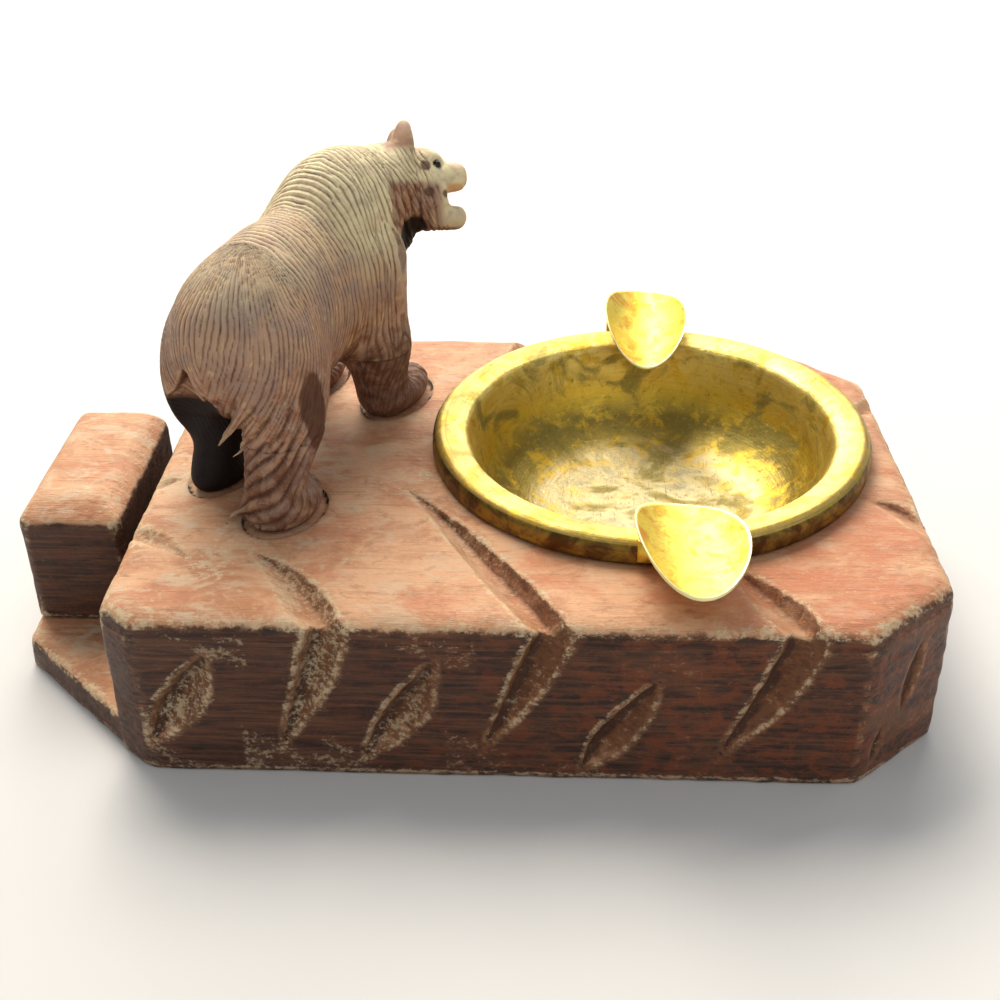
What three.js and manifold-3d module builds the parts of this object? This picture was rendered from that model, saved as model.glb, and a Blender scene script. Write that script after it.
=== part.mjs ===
// Ashtray with a carved bear: a wooden base with gouged sides, a small block that carries a matchbox
// on a low ledge, a bear carved in wood that stands on the base, a spun brass bowl let into a turned
// recess, and two bent brass cigarette rests clipped over the bowl's rim.
// Millimetres, +Z up. Origin: bottom centre of the whole. +X runs along the base to its right end,
// +Y away from the front face.
import * as THREE from "three";
import { mergeVertices } from "three/addons/utils/BufferGeometryUtils.js";
import Module from "manifold-3d";

const wasm = await Module();
wasm.setup();

// ---- driving dimensions ----
const GAP = 0.3; // clearance between pieces that touch

const BASE_HALF_LENGTH = 109.8;
const BASE_HALF_WIDTH = 69.25;
const BASE_HEIGHT = 43.1;
const BASE_EDGE = 3.6; // worn bevel around the top
const LEDGE_HEIGHT = 8.9; // low plate at the left end that carries the matchbox block
const BODY_LEFT = -78.6; // left end of the high part

const BLOCK_X = [-109.5, -83.6];
const BLOCK_Y = [-25.4, 26.0];
const BLOCK_TOP = 41.8;

const BOWL_X = 44.5;
const BOWL_Y = 8.3;
const RIM_RADIUS = 55;
const RIM_TOP = 49.5;
const BOWL_MOUTH = 45.8; // inner radius under the rim
const BOWL_FLOOR = 24.2; // inner floor above the table
const SHEET = 1.2; // brass thickness

const BEAR_X = -45;
const BEAR_Y = 8;
const BEAR_HEADING = 20; // degrees from +Y toward +X
const FOOT_RECESS = 1.0; // depth of the shallow beds under the paws

const v3 = (x, y, z) => new THREE.Vector3(x, y, z);
const rad = THREE.MathUtils.degToRad;

// ---- closed bodies ----
function toSolid(geometry) {
  geometry.deleteAttribute("normal");
  geometry.deleteAttribute("uv");
  const merged = mergeVertices(geometry, 1e-4);
  return new wasm.Manifold(new wasm.Mesh({
    numProp: 3,
    vertProperties: new Float32Array(merged.attributes.position.array),
    triVerts: new Uint32Array(merged.index.array),
  }));
}

function toGeometry(solid) {
  const mesh = solid.getMesh();
  const geometry = new THREE.BufferGeometry();
  const xyz = new Float32Array((mesh.vertProperties.length / mesh.numProp) * 3);
  for (let i = 0; i < xyz.length / 3; i++) {
    for (let k = 0; k < 3; k++) xyz[3 * i + k] = mesh.vertProperties[mesh.numProp * i + k];
  }
  geometry.setAttribute("position", new THREE.BufferAttribute(xyz, 3));
  geometry.setIndex([...mesh.triVerts]);
  return welded(geometry, 0.012);
}

// Corners joined by an edge shorter than `reach` become one.
function welded(geometry, reach) {
  const xyz = geometry.attributes.position, ids = geometry.index.array;
  const joined = [...Array(xyz.count).keys()];
  const root = (i) => (joined[i] === i ? i : (joined[i] = root(joined[i])));
  const corner = (i) => new THREE.Vector3().fromBufferAttribute(xyz, i);
  for (let i = 0; i < ids.length; i += 3) {
    for (let k = 0; k < 3; k++) {
      const a = root(ids[i + k]), b = root(ids[i + ((k + 1) % 3)]);
      if (a !== b && corner(a).distanceTo(corner(b)) < reach) joined[b] = a;
    }
  }
  const kept = [];
  for (let i = 0; i < ids.length; i += 3) {
    const [a, b, c] = [root(ids[i]), root(ids[i + 1]), root(ids[i + 2])];
    if (a !== b && b !== c && a !== c) kept.push(a, b, c);
  }
  geometry.setIndex(kept);
  return geometry;
}

// Rings of equal length, each convex and anticlockwise seen from the last ring.
function loft(rings) {
  const n = rings[0].length;
  const index = [];
  for (let k = 0; k + 1 < rings.length; k++) {
    for (let i = 0; i < n; i++) {
      const a = k * n + i, b = k * n + ((i + 1) % n);
      index.push(a, b, b + n, a, b + n, a + n);
    }
  }
  const last = (rings.length - 1) * n;
  for (let i = 1; i + 1 < n; i++) index.push(0, i + 1, i, last, last + i, last + i + 1);
  const geometry = new THREE.BufferGeometry();
  geometry.setAttribute("position", new THREE.Float32BufferAttribute(
    rings.flat().flatMap((p) => [p.x, p.y, p.z]), 3));
  geometry.setIndex(index);
  return geometry;
}

// Convex outline moved inward by d.
function inset(outline, d) {
  const n = outline.length;
  const edge = (i) => {
    const [ax, ay] = outline[i % n], [bx, by] = outline[(i + 1) % n];
    const l = Math.hypot(bx - ax, by - ay);
    return { nx: -(by - ay) / l, ny: (bx - ax) / l, c: (-(by - ay) * ax + (bx - ax) * ay) / l + d };
  };
  return outline.map((_, i) => {
    const p = edge(i + n - 1), q = edge(i);
    const det = p.nx * q.ny - p.ny * q.nx;
    return [(p.c * q.ny - q.c * p.ny) / det, (p.nx * q.c - q.nx * p.c) / det];
  });
}

// Upright prism of a convex outline; each level is [height, inset].
const prism = (outline, levels) => toSolid(loft(levels.map(([z, d]) =>
  inset(outline, d).map(([x, y]) => v3(x, y, z)))));

// Turned body: profile of [radius, height] pairs from axis to axis, or closed on itself.
function turned(profile, segments) {
  const geometry = new THREE.LatheGeometry(profile.map(([r, z]) => new THREE.Vector2(r, z)), segments);
  geometry.rotateX(Math.PI / 2);
  return geometry;
}

// Gouge cut: a channel with a rounded bottom laid along a path on a face and pointed where it starts
// or ends inside the face. `run` gives the parts of the length over which the two ends taper.
function gouge(points, normal, half, depth, run, lean = 0) {
  const path = new THREE.CatmullRomCurve3(points);
  const steps = 6;
  const rings = [];
  for (let k = 0; k <= steps; k++) {
    const u = k / steps;
    const s = Math.min(1, run[0] ? u / run[0] : 1, run[1] ? (1 - u) / run[1] : 1);
    const size = Math.max(0.08, Math.sin((Math.PI / 2) * s));
    const w = half * size, d = depth * size;
    const side = path.getTangentAt(u).cross(normal).normalize();
    const p = path.getPointAt(u);
    const at = (a, b) => p.clone().addScaledVector(side, a).addScaledVector(normal, b);
    rings.push([at(-w, 2.5), at(-w, 0), at((lean - 0.5) * w, -0.8 * d), at(lean * w, -d),
      at((lean + 0.5) * w, -0.8 * d), at(w, 0), at(w, 2.5)]);
  }
  return toSolid(loft(rings.map((r) => r.slice().reverse())));
}

// ---- wooden base ----
const mirrorX = (list) => list.map(([x, y]) => [x, -y]).reverse();
const frontCorner = [[BODY_LEFT, -62.8], [-70.3, -BASE_HALF_WIDTH]];
const bodyOutline = [...frontCorner, [89.4, -BASE_HALF_WIDTH], [BASE_HALF_LENGTH, -50.75],
  [105, 45], [76, BASE_HALF_WIDTH], ...mirrorX(frontCorner)];
const ledgeLeft = [[-BASE_HALF_LENGTH, -32.1], [-72, -67.65], [-60, -66]];
const ledgeOutline = [...ledgeLeft, ...mirrorX(ledgeLeft)];

const bevelled = (top, edge) => [[0, 0], [top - edge, 0], [top - 0.35 * edge, 0.28 * edge], [top, edge]];
let base = prism(bodyOutline, bevelled(BASE_HEIGHT, BASE_EDGE))
  .add(prism(ledgeOutline, bevelled(LEDGE_HEIGHT, 1.5)));

// Turned recess that the bowl hangs in.
const bowlInside = [[BOWL_MOUTH, 47], [44.6, 43], [42, 36], [37, 29.8], [30, 26], [22, 24.6],
  [0, BOWL_FLOOR]];
const recess = turned([[0, 60], [46.9, 60], [46.9, 42.4], [44.4, 34.6], [38.9, 27.6], [31, 23.7],
  [22.3, 22.2], [0, 21.8]].reverse(), 40).translate(BOWL_X, BOWL_Y, 0);
base = base.subtract(toSolid(recess));

const TOP = v3(0, 0, 1);
const onTop = (list) => list.map(([x, y]) => v3(x, y, BASE_HEIGHT));
// Grooves across the top. Each starts as a point and widens toward the edge that it runs over.
const topGrooves = [
  { at: [[-48.5, -41.5], [-38.5, -52], [-31.5, -63], [-27, -73]], half: 5.0, depth: 4.2 },
  { at: [[-17, -13], [-8, -24], [5, -44], [16, -61], [22.5, -73]], half: 4.4, depth: 4.4 },
  { at: [[59, -44], [66, -54], [71.5, -63], [75, -73]], half: 5.2, depth: 4.2 },
  { at: [[-59, -47.5], [-70, -38.8], [-82, -33]], half: 3.0, depth: 2.6 },
  { at: [[-70, -11.5], [-76, -13], [-82, -14.5]], half: 3.2, depth: 2.8 },
  { at: [[94, -16.5], [101, -20.5], [106, -26], [112, -33]], half: 4.0, depth: 3.2 },
  { at: [[96, 24], [102, 28.5], [109, 34]], half: 4.0, depth: 3.0 },
  { at: [[5, 51], [10.5, 61], [15, 73]], half: 4.4, depth: 3.6 },
];
for (const g of topGrooves) {
  base = base.subtract(gouge(onTop(g.at), TOP, g.half, g.depth, [0.75, 0]));
}

// Flutes and leaf cuts down a side face. A flute carries a top groove on over the edge.
const FRONT = v3(0, -1, 0), BACK = v3(0, 1, 0);
const onSide = (normal, list) => list.map(([x, z]) => v3(x, normal.y * BASE_HALF_WIDTH, z));
const sideCuts = [
  { face: FRONT, at: [[-53, 34.5], [-59.5, 22], [-69, 8]], half: 4.6, depth: 4.4, run: [0.5, 0.45] },
  { face: FRONT, at: [[-25.5, 44.5], [-31, 27], [-39.5, 7]], half: 4.4, depth: 4.0, run: [0, 0.8] },
  { face: FRONT, at: [[-3.5, 34], [-10, 20], [-21.5, 4.5]], half: 4.4, depth: 4.0, run: [0.5, 0.5] },
  { face: FRONT, at: [[23.5, 44.5], [15.5, 26], [5.5, 7.5]], half: 4.2, depth: 4.0, run: [0, 0.8] },
  { face: FRONT, at: [[45, 30], [38, 17], [27.5, 2.5]], half: 4.0, depth: 3.6, run: [0.6, 0.4] },
  { face: FRONT, at: [[77, 44.5], [69, 25], [57.5, 7]], half: 4.6, depth: 4.0, run: [0, 0.8] },
  { face: BACK, at: [[14, 44.5], [19, 27], [28, 7]], half: 4.2, depth: 3.8, run: [0, 0.8] },
];
for (const x of [-56, -22, 46]) {
  sideCuts.push({ face: BACK, at: [[x, 34], [x + 6, 20], [x + 16, 6]], half: 4.2, depth: 3.8,
    run: [0.5, 0.5] });
}
for (const c of sideCuts) {
  base = base.subtract(gouge(onSide(c.face, c.at), c.face, c.half, c.depth, c.run));
}
// Two narrow cuts on the cut-off corner at the front right.
const corner = v3(0.672, -0.741, 0).normalize();
const onCorner = (list) => list.map(([x, z]) => v3(x, -BASE_HALF_WIDTH + (x - 89.4) * 0.9069, z));
base = base.subtract(gouge(onCorner([[102.3, 34.5], [100.7, 24], [98.6, 13]]), corner, 2.0, 1.8,
  [0.5, 0.5]));
base = base.subtract(gouge(onCorner([[94.6, 15], [93.6, 9], [92.4, 3]]), corner, 1.5, 1.2,
  [0.5, 0.5]));

// ---- bear ----
// Its own frame: s forward along the back, t to the right side, h up from the top of the base.
const smooth = (a, b, k) => {
  const m = THREE.MathUtils.clamp(0.5 + (0.5 * (b - a)) / k, 0, 1);
  return b + (a - b) * m - k * m * (1 - m);
};
// Axes of a turned mass: yaw toward the right side, pitch nose up, roll right side up.
function axes(yaw = 0, pitch = 0, roll = 0) {
  const [y, p, r] = [rad(yaw), rad(pitch), rad(roll)];
  const cy = Math.cos(y), sy = Math.sin(y), cp = Math.cos(p), sp = Math.sin(p);
  const cr = Math.cos(r), sr = Math.sin(r);
  return [
    [cy * cp, sy * cp, sp],
    [-sy * cr - cy * sp * sr, cy * cr - sy * sp * sr, cp * sr],
    [sy * sr - cy * sp * cr, -cy * sr - sy * sp * cr, cp * cr],
  ];
}
const into = (p, centre, turn) => {
  const d = [p[0] - centre[0], p[1] - centre[1], p[2] - centre[2]];
  return turn ? turn.map((a) => a[0] * d[0] + a[1] * d[1] + a[2] * d[2]) : d;
};
function egg(p, centre, r, turn) {
  const q = into(p, centre, turn);
  const k0 = Math.hypot(q[0] / r[0], q[1] / r[1], q[2] / r[2]);
  const k1 = Math.hypot(q[0] / r[0] ** 2, q[1] / r[1] ** 2, q[2] / r[2] ** 2);
  return (k0 * (k0 - 1)) / Math.max(k1, 1e-9);
}
function taper(p, a, b, ra, rb) {
  const ab = b.map((v, i) => v - a[i]), ap = p.map((v, i) => v - a[i]);
  const u = THREE.MathUtils.clamp((ap[0] * ab[0] + ap[1] * ab[1] + ap[2] * ab[2])
    / (ab[0] ** 2 + ab[1] ** 2 + ab[2] ** 2), 0, 1);
  return Math.hypot(ap[0] - u * ab[0], ap[1] - u * ab[1], ap[2] - u * ab[2]) - (ra + (rb - ra) * u);
}

const HEAD = [42, 13, 55.5];
const HEAD_TURN = axes(52, -2, 28);
// Head frame: x toward the nose, y to its right side, z up.
function head(p) {
  const q = into(p, HEAD, HEAD_TURN);
  let d = egg(q, [0, 0, 0], [9.5, 8.2, 9.0]); // skull
  d = smooth(d, egg(q, [3.5, 0, -4.5], [7.5, 7.6, 7.0]), 2.5); // cheeks
  d = smooth(d, egg(q, [4.5, 0, 5.0], [5.5, 5.6, 3.6]), 2); // brow
  d = smooth(d, taper(q, [6, 0, 0.4], [11.2, 0, 0.6], 5.2, 4.2), 1.6); // muzzle
  d = smooth(d, egg(q, [13.6, 0, 1.0], [2.4, 3.2, 3.2]), 1.2); // nose
  d = smooth(d, taper(q, [4, 0, -8.4], [11.6, 0, -9.4], 4.2, 3.2), 1.2); // lower jaw
  for (const side of [-1, 1]) {
    d = smooth(d, egg(q, [-0.6, 6 * side, 8.2], [3.0, 3.6, 7.0], axes(-8 * side, -6, 8 * side)), 1);
  }
  return d;
}

// side: 1 right, -1 left. The left hind leg stands a step further forward than the right one.
const LEGS = [
  { side: -1, thigh: [-18, -12.6, 27], hind: [-22, -8.8], fore: [29, -12], shank: [8.4, 5.6],
    foot: [11.5, 6.4, 5.5] },
  { side: 1, thigh: [-22, 11.4, 29], hind: [-32, 12.8], fore: [29, 12.5], shank: [9, 6.8],
    foot: [11.5, 8.2, 5.5] },
];
const pawCentre = (leg, fore) => (fore
  ? [leg.fore[0] + 1, leg.fore[1] + 0.5 * leg.side, 2.5]
  : [leg.hind[0] + 1.5, leg.hind[1] + 0.5 * leg.side, 2.5]);
const PAW = [12.5, 7.5, 5.0];

// Hollow under the rump, where the left hind leg stands in behind the hanging edge of the coat.
const RUMP_HOLLOW = { centre: [-38.5, -9.5, 11.5], size: [12, 12, 20.5] };

function bearField(p) {
  let d = egg(p, [-5, 0.5, 38.3], [31, 16.4, 22]); // trunk
  d = smooth(d, egg(p, [-20.5, 0.3, 38], [17.2, 16.2, 18.6]), 6); // rump
  d = smooth(d, egg(p, [17.5, 0.5, 40], [15.5, 16.5, 23.5]), 8); // chest and shoulders
  d = smooth(d, egg(p, [34, 5, 38], [8.5, 9, 12]), 5); // breast
  d = smooth(d, egg(p, [25.5, 3.2, 59.3], [9.8, 8, 9.4]), 8); // hump
  d = smooth(d, taper(p, [22, 3, 54], [37, 9, 56.5], 13.5, 10.5), 5); // neck
  d = smooth(d, taper(p, [33, 7, 46], [39, 11.5, 43.5], 8, 4.5), 4); // throat
  for (const leg of LEGS) {
    const [hs, ht] = leg.hind, [fs, ft] = leg.fore, side = leg.side;
    const thigh = egg(p, leg.thigh, [14, 8.8, 18.5], axes(0, 8, 0));
    let hind = taper(p, [hs + 5, ht, 20], [hs - 2, ht, 7], ...leg.shank);
    hind = smooth(hind, egg(p, pawCentre(leg, false), leg.foot), 3);
    if (side < 0) {
      d = smooth(d, thigh, 4);
      d = -smooth(-d, egg(p, RUMP_HOLLOW.centre, RUMP_HOLLOW.size), 1.2);
      d = smooth(d, hind, 3);
    } else {
      d = smooth(d, smooth(hind, thigh, 5), 4);
    }
    let fore = taper(p, [fs - 7, side * 10, 42], [fs - 8, ft, 20], 11, 8.4);
    fore = smooth(fore, taper(p, [fs - 8, ft, 20], [fs - 6, ft, 6], 8.2, 7), 4);
    fore = smooth(fore, egg(p, pawCentre(leg, true), PAW), 3);
    d = smooth(d, fore, 4);
  }
  d = smooth(d, head(p), 2.5);
  return d;
}

// Shallow beds in the top of the base that the paws stand in.
for (const leg of LEGS) {
  for (const [centre, size] of [[pawCentre(leg, false), leg.foot], [pawCentre(leg, true), PAW]]) {
    const bed = new THREE.CylinderGeometry(1, 1, 2 * FOOT_RECESS, 24).rotateX(Math.PI / 2);
    bed.scale(size[0] + 1.0, size[1] + 1.0, 1).translate(centre[0], -centre[1], 0);
    bed.rotateZ(rad(90 - BEAR_HEADING)).translate(BEAR_X, BEAR_Y, BASE_HEIGHT);
    base = base.subtract(toSolid(bed));
  }
}

// Steps of a grid line: `fine` between the two given places, `coarse` elsewhere.
function steps(from, to, coarse, fine, lo, hi) {
  const list = [from];
  while (list[list.length - 1] < to) {
    const x = list[list.length - 1];
    list.push(x + (x >= lo && x < hi ? fine : coarse));
  }
  return list;
}

// Skin of the field at zero: one point in each grid cell that the skin passes through, drawn onto the
// skin, and one face across each grid line that crosses it.
function skin(field, xs, ys, zs) {
  const [nx, ny, nz] = [xs.length, ys.length, zs.length];
  const id = (i, j, k) => (k * ny + j) * nx + i;
  const value = new Float64Array(nx * ny * nz);
  for (let k = 0; k < nz; k++) for (let j = 0; j < ny; j++) for (let i = 0; i < nx; i++) {
    value[id(i, j, k)] = field([xs[i], ys[j], zs[k]]);
  }
  const cellVertex = new Map();
  const points = [];
  for (let k = 0; k + 1 < nz; k++) for (let j = 0; j + 1 < ny; j++) for (let i = 0; i + 1 < nx; i++) {
    const sum = [0, 0, 0];
    let count = 0;
    for (let e = 0; e < 12; e++) {
      const axis = e >> 2, b1 = e & 1, b2 = (e >> 1) & 1;
      const o = [0, 0, 0];
      o[(axis + 1) % 3] = b1;
      o[(axis + 2) % 3] = b2;
      const q = o.slice();
      q[axis] = 1;
      const va = value[id(i + o[0], j + o[1], k + o[2])], vb = value[id(i + q[0], j + q[1], k + q[2])];
      if (va < 0 === vb < 0) continue;
      const u = va / (va - vb);
      const a = [xs[i + o[0]], ys[j + o[1]], zs[k + o[2]]], b = [xs[i + q[0]], ys[j + q[1]], zs[k + q[2]]];
      for (let m = 0; m < 3; m++) sum[m] += a[m] + (b[m] - a[m]) * u;
      count += 1;
    }
    if (!count) continue;
    const lo = [xs[i], ys[j], zs[k]], hi = [xs[i + 1], ys[j + 1], zs[k + 1]];
    const p = sum.map((v) => v / count);
    for (let pass = 0; pass < 3; pass++) {
      const f = field(p);
      const g = [0, 1, 2].map((m) => {
        const a = p.slice(), b = p.slice();
        a[m] += 0.05;
        b[m] -= 0.05;
        return (field(a) - field(b)) / 0.1;
      });
      const gg = Math.max(0.3, g[0] ** 2 + g[1] ** 2 + g[2] ** 2);
      for (let m = 0; m < 3; m++) {
        const edge = 0.08 * (hi[m] - lo[m]);
        p[m] = THREE.MathUtils.clamp(p[m] - (f * g[m]) / gg, lo[m] + edge, hi[m] - edge);
      }
    }
    cellVertex.set(id(i, j, k), points.length);
    points.push(p);
  }
  const index = [];
  const far = (a, b) => Math.hypot(...points[a].map((v, m) => v - points[b][m]));
  for (let k = 1; k + 1 < nz; k++) for (let j = 1; j + 1 < ny; j++) for (let i = 1; i + 1 < nx; i++) {
    for (let axis = 0; axis < 3; axis++) {
      const q = [i, j, k];
      q[axis] += 1;
      const inside = value[id(i, j, k)] < 0;
      if (inside === value[id(...q)] < 0) continue;
      const back = (a, b) => {
        const c = [i, j, k];
        c[(axis + 1) % 3] -= a;
        c[(axis + 2) % 3] -= b;
        return cellVertex.get(id(...c));
      };
      let quad = [back(0, 0), back(1, 0), back(1, 1), back(0, 1)];
      if (!inside) quad = quad.reverse();
      if (far(quad[0], quad[2]) > far(quad[1], quad[3])) quad.push(quad.shift());
      index.push(quad[0], quad[1], quad[2], quad[0], quad[2], quad[3]);
    }
  }
  return { points, index };
}

const grid = [
  steps(-52.6, 66, 3.5, 2.4, 28, 60),
  steps(-28.6, 36, 3.5, 2.4, 6, 34),
  steps(-7.7, 80, 3.5, 2.3, 41, 75),
];
const body = skin(bearField, ...grid);
const bearGeometry = new THREE.BufferGeometry();
bearGeometry.setAttribute("position", new THREE.Float32BufferAttribute(
  body.points.flatMap(([s, t, h]) => [s, -t, h]), 3));
const flipped = [];
for (let i = 0; i < body.index.length; i += 3) {
  flipped.push(body.index[i], body.index[i + 2], body.index[i + 1]);
}
bearGeometry.setIndex(flipped);
let bear = toSolid(bearGeometry);
const under = new THREE.BoxGeometry(200, 200, 40).translate(0, 0, -20 - (FOOT_RECESS - GAP));
bear = bear.subtract(toSolid(under));

// Locks of fur cut into the hind legs: slanting strokes that follow the skin.
function drawnToSkin(p) {
  let q = p.slice();
  for (let pass = 0; pass < 12; pass++) {
    const f = bearField(q);
    const g = [0, 1, 2].map((m) => {
      const a = q.slice(), b = q.slice();
      a[m] += 0.05;
      b[m] -= 0.05;
      return (bearField(a) - bearField(b)) / 0.1;
    });
    const gg = Math.max(0.3, g[0] ** 2 + g[1] ** 2 + g[2] ** 2);
    q = q.map((v, m) => v - (0.8 * f * g[m]) / gg);
  }
  return q;
}
function skinNormal(q) {
  return v3(...[0, 1, 2].map((m) => {
    const a = q.slice(), b = q.slice();
    a[m] += 0.3;
    b[m] -= 0.3;
    return bearField(a) - bearField(b);
  })).normalize();
}
function lock(from, to, half, depth) {
  const count = 6;
  const spots = [...Array(count + 1).keys()].map((k) => {
    const u = k / count;
    return drawnToSkin(from.map((v, m) => v + (to[m] - v) * u));
  });
  const centres = spots.map(([s, t, h]) => v3(s, -t, h));
  const rings = centres.map((c, k) => {
    const size = Math.max(0.06, Math.sin(Math.PI * (0.04 + (0.92 * k) / count)) ** 0.7);
    const n = skinNormal(spots[k]);
    n.y *= -1;
    const along = centres[Math.min(k + 1, count)].clone().sub(centres[Math.max(k - 1, 0)]).normalize();
    const side = along.clone().cross(n).normalize();
    const at = (a, b) => c.clone().addScaledVector(side, a).addScaledVector(n, b);
    return [at(1.5 * half * size, 1.2), at(0, -depth * size), at(-1.5 * half * size, 1.2)];
  });
  return toSolid(loft(rings));
}
for (const leg of LEGS) {
  const [hs, ht] = leg.hind;
  for (let k = 0; k < 7; k++) {
    const h = 30 - 4.0 * k;
    if (leg.side < 0 && k < 3) continue;
    bear = bear.subtract(lock([hs + 1 - 0.9 * k, ht + leg.side * 9, h],
      [hs - 12, ht - leg.side * 6, h - 9], 1.5, 1.7));
  }
}
// Notches that part the hanging edge of the coat into locks.
for (const [t, top] of [[-15, 36], [-8.5, 41], [-2, 37], [3.5, 34]]) {
  bear = bear.subtract(lock([-37, t, top], [-36, t - 1.5, 23], 1.5, 1.9));
}

// ---- match block ----
const chamfered = (x, y, c) => [[x[0] + c, y[0]], [x[1] - c, y[0]], [x[1], y[0] + c],
  [x[1], y[1] - c], [x[1] - c, y[1]], [x[0] + c, y[1]], [x[0], y[1] - c], [x[0], y[0] + c]];
const ring = (x, y, c, z) => chamfered(x, y, c).map(([a, b]) => v3(a, b, z));
const block = loft([
  ring(BLOCK_X, BLOCK_Y, 1.8, LEDGE_HEIGHT + GAP),
  ring(BLOCK_X, BLOCK_Y, 1.8, BLOCK_TOP - 4.6),
  ring([BLOCK_X[0] + 0.8, BLOCK_X[1] - 1.4], [BLOCK_Y[0] + 1.8, BLOCK_Y[1] - 0.5], 1.8, BLOCK_TOP - 2.6),
  ring([BLOCK_X[0] + 3.6, BLOCK_X[1] - 5.6], [BLOCK_Y[0] + 7.2, BLOCK_Y[1] - 2.2], 1.8, BLOCK_TOP),
]);

// ---- brass bowl ----
// Spun from sheet: outer band, rounded shoulder, rim that falls inward, round bowl with a flat floor.
const bowlProfile = [
  [0, BOWL_FLOOR - SHEET], [22.2, BOWL_FLOOR - 0.85], [30.5, 24.8], [37.9, 28.8], [43.2, 35.5],
  [45.8, 42.8], [46.9, 46.3], [52.4, RIM_TOP - SHEET - 0.2], [53.6, RIM_TOP - 2.4],
  [RIM_RADIUS - SHEET, BASE_HEIGHT + GAP], [RIM_RADIUS, BASE_HEIGHT + GAP], [RIM_RADIUS, RIM_TOP - 2.6],
  [54.1, RIM_TOP - 0.9], [52.4, RIM_TOP], [BOWL_MOUTH + 1.2, RIM_TOP - 1.3], ...bowlInside,
];
const bowl = turned(bowlProfile, 48);

// ---- cigarette rests ----
// An oval of sheet bent into a trough that points at the bowl's centre, with a clip that hugs the
// outer band of the rim.
const REST_THICKNESS = 0.9;
function rest({ angle, reach, halfWidth, halfLength, curl, tilt, roll, yaw }) {
  const rings = 3, around = 26;
  const place = new THREE.Matrix4().makeRotationFromEuler(new THREE.Euler(rad(tilt), rad(roll), rad(yaw)));
  const surface = (rho, theta, lift) => {
    const x = halfWidth * rho * Math.cos(theta), y = halfLength * rho * Math.sin(theta);
    const z = curl * (x / halfWidth) ** 2 + 0.6 * rho * rho + lift;
    return v3(x, y, z).applyMatrix4(place);
  };
  const points = [], index = [];
  for (const lift of [0, REST_THICKNESS]) {
    points.push(surface(0, 0, lift));
    for (let r = 1; r <= rings; r++) {
      for (let a = 0; a < around; a++) {
        points.push(surface(r / rings, (2 * Math.PI * a) / around, lift));
      }
    }
  }
  const layer = 1 + rings * around;
  const at = (l, r, a) => l * layer + (r ? 1 + (r - 1) * around + (a % around) : 0);
  for (let a = 0; a < around; a++) {
    index.push(at(1, 0, 0), at(1, 1, a), at(1, 1, a + 1), at(0, 0, 0), at(0, 1, a + 1), at(0, 1, a));
    for (let r = 1; r < rings; r++) {
      index.push(at(1, r, a), at(1, r + 1, a), at(1, r + 1, a + 1), at(1, r, a), at(1, r + 1, a + 1),
        at(1, r, a + 1));
      index.push(at(0, r, a), at(0, r + 1, a + 1), at(0, r + 1, a), at(0, r, a), at(0, r, a + 1),
        at(0, r + 1, a + 1));
    }
    index.push(at(0, rings, a), at(0, rings, a + 1), at(1, rings, a + 1), at(0, rings, a),
      at(1, rings, a + 1), at(1, rings, a));
  }
  const plate = new THREE.BufferGeometry();
  plate.setAttribute("position", new THREE.Float32BufferAttribute(
    points.flatMap((p) => [p.x, p.y, p.z]), 3));
  plate.setIndex(index);
  const direction = rad(angle);
  plate.rotateZ(direction - Math.PI / 2);
  plate.translate(reach * Math.cos(direction), reach * Math.sin(direction), RIM_TOP + GAP + 0.35);
  // Clip: an arc of strip outside the band that rises into the plate.
  const spread = rad(10.5), spans = 8;
  const inner = RIM_RADIUS + GAP, outer = inner + 0.9;
  const clipTop = RIM_TOP + 1.1 + (outer - reach) * Math.sin(rad(tilt));
  const section = [[inner, RIM_TOP - 4.5], [outer, RIM_TOP - 4.5], [outer, clipTop], [inner, clipTop]];
  const arcs = [...Array(spans + 1).keys()].map((k) => {
    const b = direction + spread * (1 - (2 * k) / spans);
    return section.map(([r, z]) => v3(r * Math.cos(b), r * Math.sin(b), z));
  });
  return toGeometry(toSolid(plate).add(toSolid(loft(arcs))));
}
const RESTS = {
  cigarette_rest_front: { angle: -84.5, reach: 60.0, halfWidth: 12.5, halfLength: 18.2, curl: 5.4,
    tilt: 0, roll: -7, yaw: 0 },
  cigarette_rest_back: { angle: 90, reach: 49.5, halfWidth: 11.4, halfLength: 18.4, curl: 6.2,
    tilt: 10, roll: 4, yaw: 0 },
};

// ---- the assembled object ----
const WOOD = { color: 0x7a4a38, roughness: 0.72, metalness: 0 };
const ashtray = new THREE.Group();
function addPiece(name, geometry, look, x = 0, y = 0, z = 0, turn = 0) {
  geometry.computeVertexNormals();
  const mesh = new THREE.Mesh(geometry, new THREE.MeshStandardMaterial(look));
  mesh.name = name;
  mesh.position.set(x, y, z);
  mesh.rotation.z = rad(turn);
  ashtray.add(mesh);
}
addPiece("wood_base", toGeometry(base), WOOD);
addPiece("match_block", block, { color: 0x83483a, roughness: 0.7, metalness: 0 });
addPiece("bear", toGeometry(bear), { color: 0x85664f, roughness: 0.78, metalness: 0 },
  BEAR_X, BEAR_Y, BASE_HEIGHT, 90 - BEAR_HEADING);
addPiece("brass_bowl", bowl, { color: 0x9a8443, roughness: 0.42, metalness: 1 }, BOWL_X, BOWL_Y);
for (const [name, shape] of Object.entries(RESTS)) {
  addPiece(name, rest(shape), { color: 0xc9a53c, roughness: 0.3, metalness: 1 }, BOWL_X, BOWL_Y);
}

export default ashtray;
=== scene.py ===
"""Dressed model of a carved bear ashtray: stained wooden base, match block, bear, brass bowl, two rests."""

import logging
import math
from dataclasses import dataclass, field
from enum import Enum
from typing import Callable, Optional, Sequence

import bpy
import numpy as np
from mathutils import Matrix, Vector


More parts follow.
